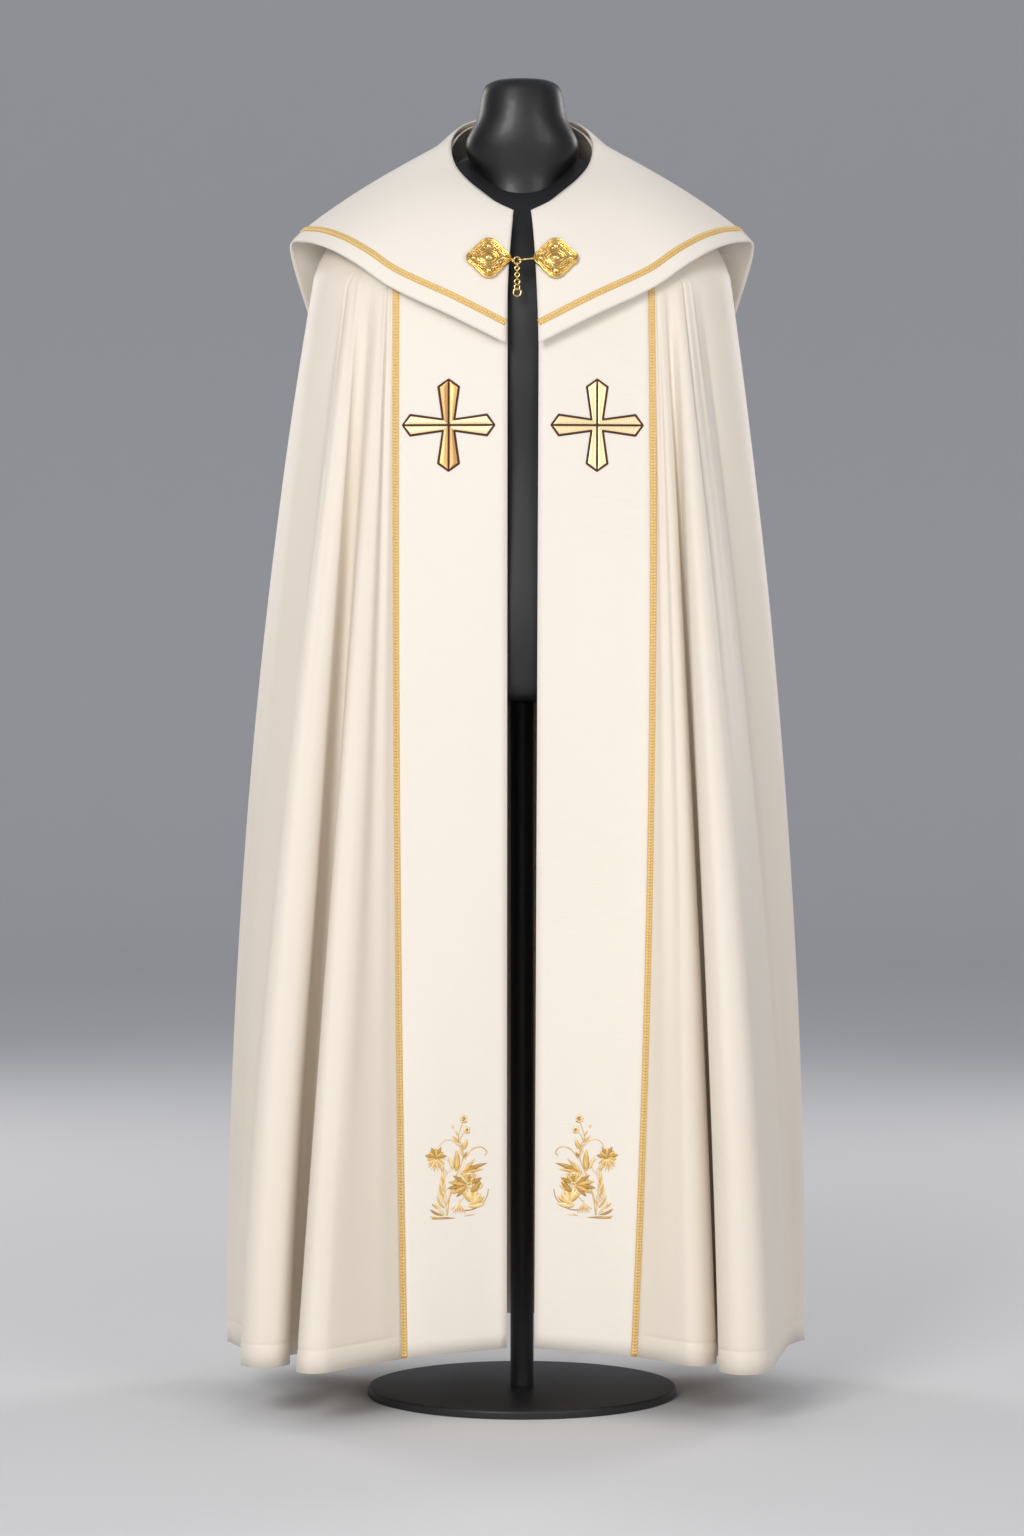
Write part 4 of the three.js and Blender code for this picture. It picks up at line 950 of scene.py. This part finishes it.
def stitchTree():
    tree = bpy.data.node_groups.new("braidStitches", "GeometryNodeTree")
    tree.interface.new_socket("Points", in_out="INPUT", socket_type="NodeSocketGeometry")
    for label, value in (("Long", 0.004), ("Wide", 0.0018), ("High", 0.0012)):
        socket = tree.interface.new_socket(label, in_out="INPUT", socket_type="NodeSocketFloat")
        socket.default_value = value
    tree.interface.new_socket("Thread", in_out="INPUT", socket_type="NodeSocketMaterial")
    tree.interface.new_socket("Stitches", in_out="OUTPUT", socket_type="NodeSocketGeometry")
    nodes, links = tree.nodes, tree.links
    source, sink = nodes.new("NodeGroupInput"), nodes.new("NodeGroupOutput")
    ball = nodes.new("GeometryNodeMeshIcoSphere")
    ball.inputs["Radius"].default_value = 0.5
    ball.inputs["Subdivisions"].default_value = 2
    smooth = nodes.new("GeometryNodeSetShadeSmooth")
    size = nodes.new("ShaderNodeCombineXYZ")
    place = nodes.new("GeometryNodeInstanceOnPoints")
    turn = nodes.new("GeometryNodeInputNamedAttribute")
    turn.data_type = "FLOAT_VECTOR"
    turn.inputs["Name"].default_value = "turn"
    rotation = nodes.new("FunctionNodeEulerToRotation")
    real = nodes.new("GeometryNodeRealizeInstances")
    paint = nodes.new("GeometryNodeSetMaterial")
    for label, axis in (("Long", "X"), ("Wide", "Y"), ("High", "Z")):
        links.new(source.outputs[label], size.inputs[axis])
    links.new(ball.outputs["Mesh"], smooth.inputs["Geometry"])
    links.new(smooth.outputs["Geometry"], place.inputs["Instance"])
    links.new(source.outputs["Points"], place.inputs["Points"])
    links.new(turn.outputs["Attribute"], rotation.inputs["Euler"])
    links.new(rotation.outputs["Rotation"], place.inputs["Rotation"])
    links.new(size.outputs["Vector"], place.inputs["Scale"])
    links.new(place.outputs["Instances"], real.inputs["Geometry"])
    links.new(real.outputs["Geometry"], paint.inputs["Geometry"])
    links.new(source.outputs["Thread"], paint.inputs["Material"])
    links.new(paint.outputs["Geometry"], sink.inputs["Stitches"])
    return tree


braidTree = stitchTree()


def placedStitches(name, places, turns, values, material):
    # the tree's stitches at these places, as a plain mesh
    mesh = bpy.data.meshes.new(name + "Points")
    mesh.from_pydata([tuple(p) for p in places], [], [])
    layer = mesh.attributes.new("turn", "FLOAT_VECTOR", "POINT")
    layer.data.foreach_set("vector", np.asarray(turns, dtype=np.float32).ravel())
    obj = bpy.data.objects.new(name + "Points", mesh)
    bpy.context.scene.collection.objects.link(obj)
    modifier = obj.modifiers.new("stitches", "NODES")
    modifier.node_group = braidTree
    items = braidTree.interface.items_tree
    sockets = {item.name: item.identifier for item in items if item.in_out == "INPUT"}
    for label, value in values.items():
        modifier[sockets[label]] = value
    modifier[sockets["Thread"]] = material
    bpy.context.view_layer.update()
    made = bpy.data.meshes.new_from_object(obj.evaluated_get(bpy.context.evaluated_depsgraph_get()))
    obj.modifiers.remove(modifier)
    bpy.data.objects.remove(obj)
    return made


def oneMesh(name, meshes, material):
    bm = bmesh.new()
    for mesh in meshes:
        bm.from_mesh(mesh)
        bpy.data.meshes.remove(mesh)
    whole = bpy.data.meshes.new(name)
    bm.to_mesh(whole)
    bm.free()
    whole.materials.clear()
    whole.materials.append(material)
    whole.polygons.foreach_set("material_index", [0] * len(whole.polygons))
    whole.polygons.foreach_set("use_smooth", [True] * len(whole.polygons))
    obj = bpy.data.objects.new(name, whole)
    bpy.context.scene.collection.objects.link(obj)
    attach(obj, "root")
    return obj


def resample(values, length, marks):
    return np.stack([np.interp(marks, length, values[:, k]) for k in range(values.shape[1])], axis=1)


def makeBraid(name, node, middle, toSideA, toSideB, normal):
    # middle line with the directions to its two sides and off the cloth
    length = np.concatenate([[0], np.cumsum(np.linalg.norm(np.diff(middle, axis=0), axis=1))])
    half = braid["width"] / 2
    across = np.array([-1, -0.93, -0.82, -0.7, -0.35, 0, 0.35, 0.7, 0.82, 0.93, 1])
    lift = np.array([0.15, 0.75, 1.0, 0.7, 0.62, 0.62, 0.62, 0.7, 1.0, 0.75, 0.15]) * braid["rise"] + 0.1
    marks = np.linspace(0, length[-1], int(length[-1] / braid["section"]))
    m, a, b = (resample(v, length, marks) for v in (middle, toSideA, toSideB))
    n = unit(resample(normal, length, marks))
    arm = np.where(across[None, :, None] < 0, a[:, None, :], b[:, None, :])
    flat = m[:, None, :] + arm * (np.abs(across) * half)[None, :, None]
    top = flat + n[:, None, :] * lift[None, :, None]
    low = flat + n[:, None, :] * braid["under"]
    tape = wallBetween(top, low)
    shadedTapeFaces = len(tape.polygons)
    places, turns = [], []
    marks = np.arange(braid["pitch"] / 2, length[-1] - 1.2, braid["pitch"])
    m, a, b = (resample(v, length, marks) for v in (middle, toSideA, toSideB))
    n = unit(resample(normal, length, marks))
    for i in range(len(marks)):
        for armVector, sign in ((a[i], -1), (b[i], 1)):
            up = n[i]
            side = unit(armVector - up * np.dot(armVector, up)) * sign
            forward = np.cross(side, up)
            lean = math.radians(braid["lean"]) * sign
            x = forward * math.cos(lean) + side * math.sin(lean)
            y = np.cross(up, x)
            turns.append(Matrix((x, y, up)).transposed().to_euler())
            places.append((m[i] + armVector * braid["row"] + up * (0.62 * braid["rise"] + 0.25)) * mm)
    values = {"Long": braid["beadLong"] * mm, "Wide": braid["beadWide"] * mm, "High": braid["beadHigh"] * mm}
    beads = placedStitches(name, places, turns, values, goldBraid)
    obj = oneMesh(name, [tape, beads], goldBraid)
    # the tape under the stitches gets the darker colour: painted shade between the stitches
    obj.data.materials.append(braidTapeShade)
    for polygon in obj.data.polygons[:shadedTapeFaces]:
        polygon.material_index = 1
    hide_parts(node)


def wallBetween(top, low):
    points = np.concatenate([top.reshape(-1, 3), low.reshape(-1, 3)]) * mm
    faces = wallFaces(*top.shape[:2])
    mesh = bpy.data.meshes.new("tape")
    mesh.from_pydata([tuple(p) for p in points], [], faces)
    bm = bmesh.new()
    bm.from_mesh(mesh)
    bmesh.ops.recalc_face_normals(bm, faces=bm.faces)
    bm.to_mesh(mesh)
    bm.free()
    return mesh


for name, at in (("right", firstSeam), ("left", lastSeam)):
    rows = slice(braid["startsAt"], None)
    middle = sheet[rows, at]
    towardA, towardB = unit(sheet[rows, at - 1] - middle), unit(sheet[rows, at + 1] - middle)
    normal = unit(np.cross(towardB - towardA, np.gradient(middle, axis=0)))
    makeBraid("braid_" + name, "galloon_" + name, middle, towardA, towardB, normal)

turns = np.linspace(4.15, 355.85, 420)
middle, normal, down = [], [], []
for t in turns:
    span = np.linalg.norm(collarPoint(t, 1) - collarPoint(t, 0.6)) / 0.4
    part = 1 - braid["fromCollarEdge"] / span
    middle.append(collarPoint(t, part))
    normal.append(collarNormal(t, part))
    down.append(unit(collarPoint(t, part + 0.02) - collarPoint(t, part - 0.02)))
middle, normal, down = np.array(middle), np.array(normal), np.array(down)
acrossTape = unit(np.cross(normal, unit(np.gradient(middle, axis=0))))
makeBraid("braid_collar", "galloon_collar", middle, -acrossTape, acrossTape, normal)
print("braid sewn")


plaque = {"turn": 13.4, "part": 0.54, "gap": 1.9, "tip": 23.5, "wall": 3, "beads": 64, "beadsAt": 0.872,
          "lobes": ((0, 13.0, 12.4), (0, -13.0, 12.4), (17.5, 0, 9.3), (-17.5, 0, 9.3), (0, 0, 21.5))}
# from the edge to the middle: part of the reach, height
plaqueProfile = (
    (1.0, 0.0), (1.0, 2.2), (0.985, 3.2), (0.965, 3.9), (0.94, 4.1), (0.915, 3.7), (0.90, 2.9), (0.88, 2.5),
    (0.86, 2.5), (0.845, 3.0), (0.83, 3.5), (0.81, 3.5), (0.79, 3.0), (0.765, 2.1), (0.72, 1.8), (0.6, 1.9),
    (0.45, 2.3), (0.3, 2.8), (0.15, 3.1))
eye = {"x": -6, "y": -118, "z": 1343, "radius": 4, "wire": 1, "stalk": 1.7, "knuckle": 2.2}
hook = {"wire": 1.1, "clear": 2.5, "over": 0.8}
link = {"radius": 3.2, "wire": 0.8, "play": 0.3}
chain = {"small": 2.5, "loop": 3, "endRing": 4.4, "endWire": 1, "grip": 1.2}


def plaqueOutline(count=120):
    reaches = []
    for k in range(count):
        a = 2 * math.pi * k / count
        d = np.array([math.cos(a), math.sin(a)])
        best = 0
        for x, y, radius in plaque["lobes"]:
            along = d[0] * x + d[1] * y
            inside = along**2 - (x * x + y * y - radius * radius)
            if inside >= 0:
                best = max(best, along + math.sqrt(inside))
        reaches.append(best)
    reaches = np.array(reaches)
    for _ in range(3):
        reaches = (np.roll(reaches, 1) + 2 * reaches + np.roll(reaches, -1)) / 4
    return reaches


def plaquePlate():
    reaches = plaqueOutline()
    count = len(reaches)
    angles = np.arange(count) * 2 * math.pi / count
    points = []
    for part, height in plaqueProfile:
        inset = reaches * part
        points += [(inset[k] * math.cos(a), inset[k] * math.sin(a), height) for k, a in enumerate(angles)]
    faces = []
    for r in range(len(plaqueProfile) - 1):
        for k in range(count):
            n = (k + 1) % count
            faces.append((r * count + k, r * count + n, (r + 1) * count + n, (r + 1) * count + k))
    points.append((0, 0, plaqueProfile[-1][1]))
    last = (len(plaqueProfile) - 1) * count
    faces += [(last + k, last + (k + 1) % count, len(points) - 1) for k in range(count)]
    faces.append(tuple(reversed(range(count))))
    return points, faces


def dome(x, y, z, rx, ry, rz, rings=8, sides=20):
    points, faces = [], []
    for i in range(rings + 1):
        a = math.pi * i / rings
        for k in range(sides):
            b = 2 * math.pi * k / sides
            points.append((x + rx * math.sin(a) * math.cos(b), y + ry * math.sin(a) * math.sin(b),
                           z + rz * math.cos(a)))
    for i in range(rings):
        for k in range(sides):
            n = (k + 1) % sides
            faces.append((i * sides + k, (i + 1) * sides + k, (i + 1) * sides + n, i * sides + n))
    return points, faces


def pointedOval(reach, bulge, height, wire):
    t = np.linspace(0, 2 * math.pi, 57)[:-1]
    path = np.stack([reach * np.cos(t), bulge * np.sign(np.sin(t)) * np.abs(np.sin(t)) ** 1.5,
                     np.full_like(t, height)], axis=1)
    return tube(path, wire, 8, closed=True)


def volute(x, y, heading, hand, size, height):
    # a scroll that starts straight and winds in on itself
    t = np.linspace(0, 1, 44)
    radius = size * (1 - 0.82 * t)
    a = math.radians(heading) + hand * 2 * math.pi * 1.35 * t
    rise = np.full_like(t, height) + 0.5 * t
    path = np.stack([x + radius * np.cos(a), y + radius * np.sin(a), rise], axis=1)
    return tube(path, 0.62 - 0.15 * t, 7)


def plaqueRelief():
    # an oval boss in two pointed rings, a rosette in each lobe, scrolls between, beads round the edge
    parts = [pointedOval(13.0, 9.2, 3.0, 0.85), pointedOval(9.6, 6.2, 3.7, 0.8),
             dome(0, 0, 3.0, 6.0, 4.3, 2.7), dome(0, 0, 5.3, 2.4, 1.9, 1.0)]
    for y in (-15.2, 15.2):
        parts.append(dome(0, y, 2.2, 3.9, 3.6, 2.1))
        for k in range(9):
            a = math.radians(20 + 40 * k)
            parts.append(dome(5.4 * math.cos(a), y + 5.1 * math.sin(a), 2.4, 0.9, 0.9, 0.9, 5, 8))
    for x in (-17.6, 17.6):
        parts.append(dome(x, 0, 2.2, 3.1, 2.7, 1.7))
        for k in range(7):
            a = math.radians(51.4 * k)
            parts.append(dome(x + 4.4 * math.cos(a), 3.9 * math.sin(a), 2.3, 0.75, 0.75, 0.75, 5, 8))
    for sx in (-1, 1):
        for sy in (-1, 1):
            turn = 1 if sx * sy > 0 else -1
            parts.append(volute(sx * 8.2, sy * 10.0, 180 if sx > 0 else 0, turn, 3.0, 2.7))
            parts.append(volute(sx * 13.0, sy * 5.6, 270 if sy > 0 else 90, -turn, 2.4, 2.6))
            tendril = splinePoints([(sx * 3.2, sy * 10.6, 2.6), (sx * 6.5, sy * 13.4, 3.0),
                                    (sx * 10.6, sy * 11.2, 2.8), (sx * 13.6, sy * 8.6, 2.8)], 0.8)
            parts.append(tube(tendril, 0.5, 7))
    for k, reach in enumerate(plaqueOutline(plaque["beads"])):
        a, out = 2 * math.pi * k / plaque["beads"], plaque["beadsAt"] * reach
        parts.append(dome(out * math.cos(a), out * math.sin(a), 2.6, 0.72, 0.72, 0.62, 4, 7))
    return parts


def plaqueBasis(side):
    turn = plaque["turn"] if side < 0 else 360 - plaque["turn"]
    out = collarNormal(turn, plaque["part"])
    across = unit(np.cross([0, 0, 1.0], out))
    return across, np.cross(out, across), out, collarPoint(turn, plaque["part"])


def makePlaque(side, extras):
    across, up, out, seat = plaqueBasis(side)
    points, faces = joinParts([plaquePlate()] + plaqueRelief())
    placed = [seat + across * p[0] + up * p[1] + out * (p[2] + plaque["gap"]) for p in np.array(points)]
    allPoints, allFaces = joinParts([(placed, faces)] + extras)
    name = "right" if side < 0 else "left"
    obj = newMesh("plaque_" + name, np.array(allPoints) * mm, allFaces, giltMetal)
    mendNormals(obj)
    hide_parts("clasp_" + name)


def plaqueTip(side):
    across, up, out, seat = plaqueBasis(side)
    return seat - across * side * plaque["tip"] + out * (plaque["gap"] + plaque["wall"] / 2)


def torus(centre, radius, wire, facing, around=40, sides=12):
    t = np.linspace(0, 2 * math.pi, around + 1)[:-1]
    zero = np.zeros_like(t)
    ring = (np.stack([radius * np.cos(t), zero, radius * np.sin(t)], axis=1) if facing == "front"
            else np.stack([zero, radius * np.cos(t), radius * np.sin(t)], axis=1))
    return tube(ring + np.array(centre), wire, sides, closed=True)


rightTip, leftTip = plaqueTip(-1), plaqueTip(1)
eyeSide = eye["x"] - eye["radius"]
stalkMiddle = (mix(rightTip[0], eyeSide, 0.5), mix(rightTip[1], eye["y"], 0.6),
               mix(rightTip[2], eye["z"], 0.6))
stalk = splinePoints([rightTip, stalkMiddle, (eyeSide, eye["y"], eye["z"])], 0.8)
knuckle = (eyeSide - eye["wire"] / 2, eye["y"], eye["z"], eye["knuckle"], eye["knuckle"], eye["knuckle"])
makePlaque(-1, [tube(stalk, eye["stalk"], 14), dome(*knuckle, 12, 20),
                torus((eye["x"], eye["y"], eye["z"]), eye["radius"], eye["wire"], "front")])
near = eye["x"] + eye["radius"]
inHole, hookZ = near - hook["clear"], eye["z"] + hook["over"]
# from the plaque past the front of the eye's wire, in through its hole and back behind it
shank = splinePoints([
    leftTip,
    (leftTip[0] - 3, eye["y"] - hook["clear"] * 0.7, mix(leftTip[2], hookZ, 0.6)),
    (near + 2, eye["y"] - hook["clear"], hookZ),
    (inHole + 0.6, eye["y"] - hook["clear"] * 0.8, hookZ),
    (inHole - 0.1, eye["y"], hookZ),
    (inHole + 0.8, eye["y"] + hook["clear"] * 0.8, hookZ),
    (near + 1.6, eye["y"] + hook["clear"], hookZ),
], 0.6)
makePlaque(1, [tube(shank, hook["wire"], 14)])

linkTop = eye["z"] - eye["radius"] + eye["wire"] + link["wire"] + link["play"]
linkMiddle = (eye["x"], eye["y"], linkTop - link["radius"])
linkPoints, linkFaces = torus(linkMiddle, link["radius"], link["wire"], "side")
dropLink = newMesh("drop_link_ring", np.array(linkPoints) * mm, linkFaces, giltMetal, "drop_link")
mendNormals(dropLink)
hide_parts("drop_link")

rings, top = [], linkTop - 2 * link["radius"] + 2 * link["wire"] + link["play"]
# small links each way round, a double loop, the end ring: radius, wire, facing, grip on the next
chainRings = [(chain["small"], link["wire"], facing, chain["grip"]) for facing in ("front", "side") * 2]
chainRings += [
    (chain["loop"], link["wire"], "front", link["wire"] - chain["grip"]),
    (chain["loop"], link["wire"], "front", chain["grip"]),
    (chain["endRing"], chain["endWire"], "front", 0),
]
for radius, wire, facing, grip in chainRings:
    rings.append(torus((eye["x"], eye["y"], top - radius), radius, wire, facing))
    top += grip - 2 * radius
chainPoints, chainFaces = joinParts(rings)
dropChain = newMesh("drop_chain_rings", np.array(chainPoints) * mm, chainFaces, giltMetal, "drop_chain")
mendNormals(dropChain)
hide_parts("drop_chain")
print("clasp made")


stand = {"poleRadius": 14, "poleTop": 829.7, "poleFoot": 10.3, "baseRadius": 185, "baseHeight": 10, "edge": 3,
         "foot": 0.8, "sharpFrom": 40}


def lathe(profile, sides=96):
    points, faces = [], []
    for radius, z in profile:
        points += [(radius * math.cos(2 * math.pi * k / sides), radius * math.sin(2 * math.pi * k / sides), z)
                   for k in range(sides)]
    for r in range(len(profile) - 1):
        for k in range(sides):
            n = (k + 1) % sides
            faces.append((r * sides + k, r * sides + n, (r + 1) * sides + n, (r + 1) * sides + k))
    faces.append(tuple(reversed(range(sides))))
    faces.append(tuple((len(profile) - 1) * sides + k for k in range(sides)))
    return points, faces


def sharpenEdges(obj, degrees):
    bm = bmesh.new()
    bm.from_mesh(obj.data)
    for edge in bm.edges:
        if len(edge.link_faces) == 2 and edge.calc_face_angle() > math.radians(degrees):
            edge.smooth = False
    bm.to_mesh(obj.data)
    bm.free()


poleProfile = [(stand["poleRadius"], stand["poleFoot"]), (stand["poleRadius"], stand["poleTop"])]
quarterTurn = np.linspace(0, math.pi / 2, 7)
baseProfile = [(stand["baseRadius"] - stand["foot"], 0), (stand["baseRadius"], stand["foot"])]
baseProfile += [(stand["baseRadius"] - stand["edge"] * (1 - math.cos(a)),
                 stand["baseHeight"] - stand["edge"] * (1 - math.sin(a))) for a in quarterTurn]
for name, profile in (("pole", poleProfile), ("base", baseProfile)):
    points, faces = lathe(profile)
    piece = newMesh("stand_" + name, np.array(points) * mm, faces, standBlack)
    sharpenEdges(piece, stand["sharpFrom"])
    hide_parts("form_" + name)
print("stand made")


room = {"floor": (0.70, 0.70, 0.71), "radius": 13.0, "bend": 3.0, "height": 9.0, "sides": 128, "steps": 20,
        "air": (0.9, 0.93, 1.0, 1), "airStrength": 0.48}


def paleMaterial(name, colour):
    material, nodes, links, shader = nodeTree(name)
    shader.inputs["Base Color"].default_value = (*colour, 1)
    shader.inputs["Roughness"].default_value = 0.85
    return material


def makeRoom():
    # a round floor whose rim sweeps up into a plain wall
    bend = room["bend"]
    sweep = np.linspace(0, math.pi / 2, room["steps"])
    profile = [(0.02, 0.0)]
    profile += [(room["radius"] - bend + bend * math.sin(a), bend - bend * math.cos(a)) for a in sweep]
    profile.append((room["radius"], room["height"]))
    sides = room["sides"]
    points = [(r * math.cos(2 * math.pi * k / sides), r * math.sin(2 * math.pi * k / sides), z)
              for r, z in profile for k in range(sides)]
    faces = []
    for r in range(len(profile) - 1):
        for k in range(sides):
            n = (k + 1) % sides
            faces.append((r * sides + k, r * sides + n, (r + 1) * sides + n, (r + 1) * sides + k))
    faces.append(tuple(range(sides)))
    inward = [tuple(reversed(face)) for face in faces]
    floor = newMesh("studioFloor", points, inward, paleMaterial("paleFloor", room["floor"]), body=None)


lightsAim = (0, 0, 0.8)


def areaLight(name, place, size, power, colour):
    light = bpy.data.lights.new(name, "AREA")
    light.shape = "RECTANGLE"
    light.size, light.size_y = size
    light.energy = power
    light.color = colour
    obj = bpy.data.objects.new(name, light)
    obj.location = place
    obj.rotation_euler = (Vector(lightsAim) - Vector(place)).to_track_quat("-Z", "Y").to_euler()
    bpy.context.scene.collection.objects.link(obj)


makeRoom()
areaLight("keyLight", (-1.7, -4.4, 2.5), (1.5, 1.9), 124, (1, 0.985, 0.96))
areaLight("fillLight", (2.3, -4.0, 1.7), (1.8, 2.0), 46, (1, 0.98, 0.96))
areaLight("backLeft", (-3.0, 3.2, 2.4), (1.6, 2.2), 52, (1, 0.97, 0.94))
areaLight("backRight", (3.0, 3.0, 2.2), (1.6, 2.2), 52, (1, 0.97, 0.94))

world = bpy.data.worlds.new("studioWorld")
world.use_nodes = True
world.node_tree.nodes["Background"].inputs["Color"].default_value = room["air"]
world.node_tree.nodes["Background"].inputs["Strength"].default_value = room["airStrength"]
bpy.context.scene.world = world
bpy.context.scene.view_settings.view_transform = "Standard"

view = {"distance": 4.5, "height": 0.75, "aside": -0.012, "lens": 87.9, "sensor": 36, "farthest": 60}
cameraData = bpy.data.cameras.new("studioCamera")
cameraData.lens = view["lens"]
cameraData.sensor_width = view["sensor"]
cameraData.clip_end = view["farthest"]
camera = bpy.data.objects.new("studioCamera", cameraData)
camera.location = (view["aside"], -view["distance"], view["height"])
camera.rotation_euler = (math.radians(90), 0, 0)
bpy.context.scene.collection.objects.link(camera)
bpy.context.scene.camera = camera
print("room, light and camera set")
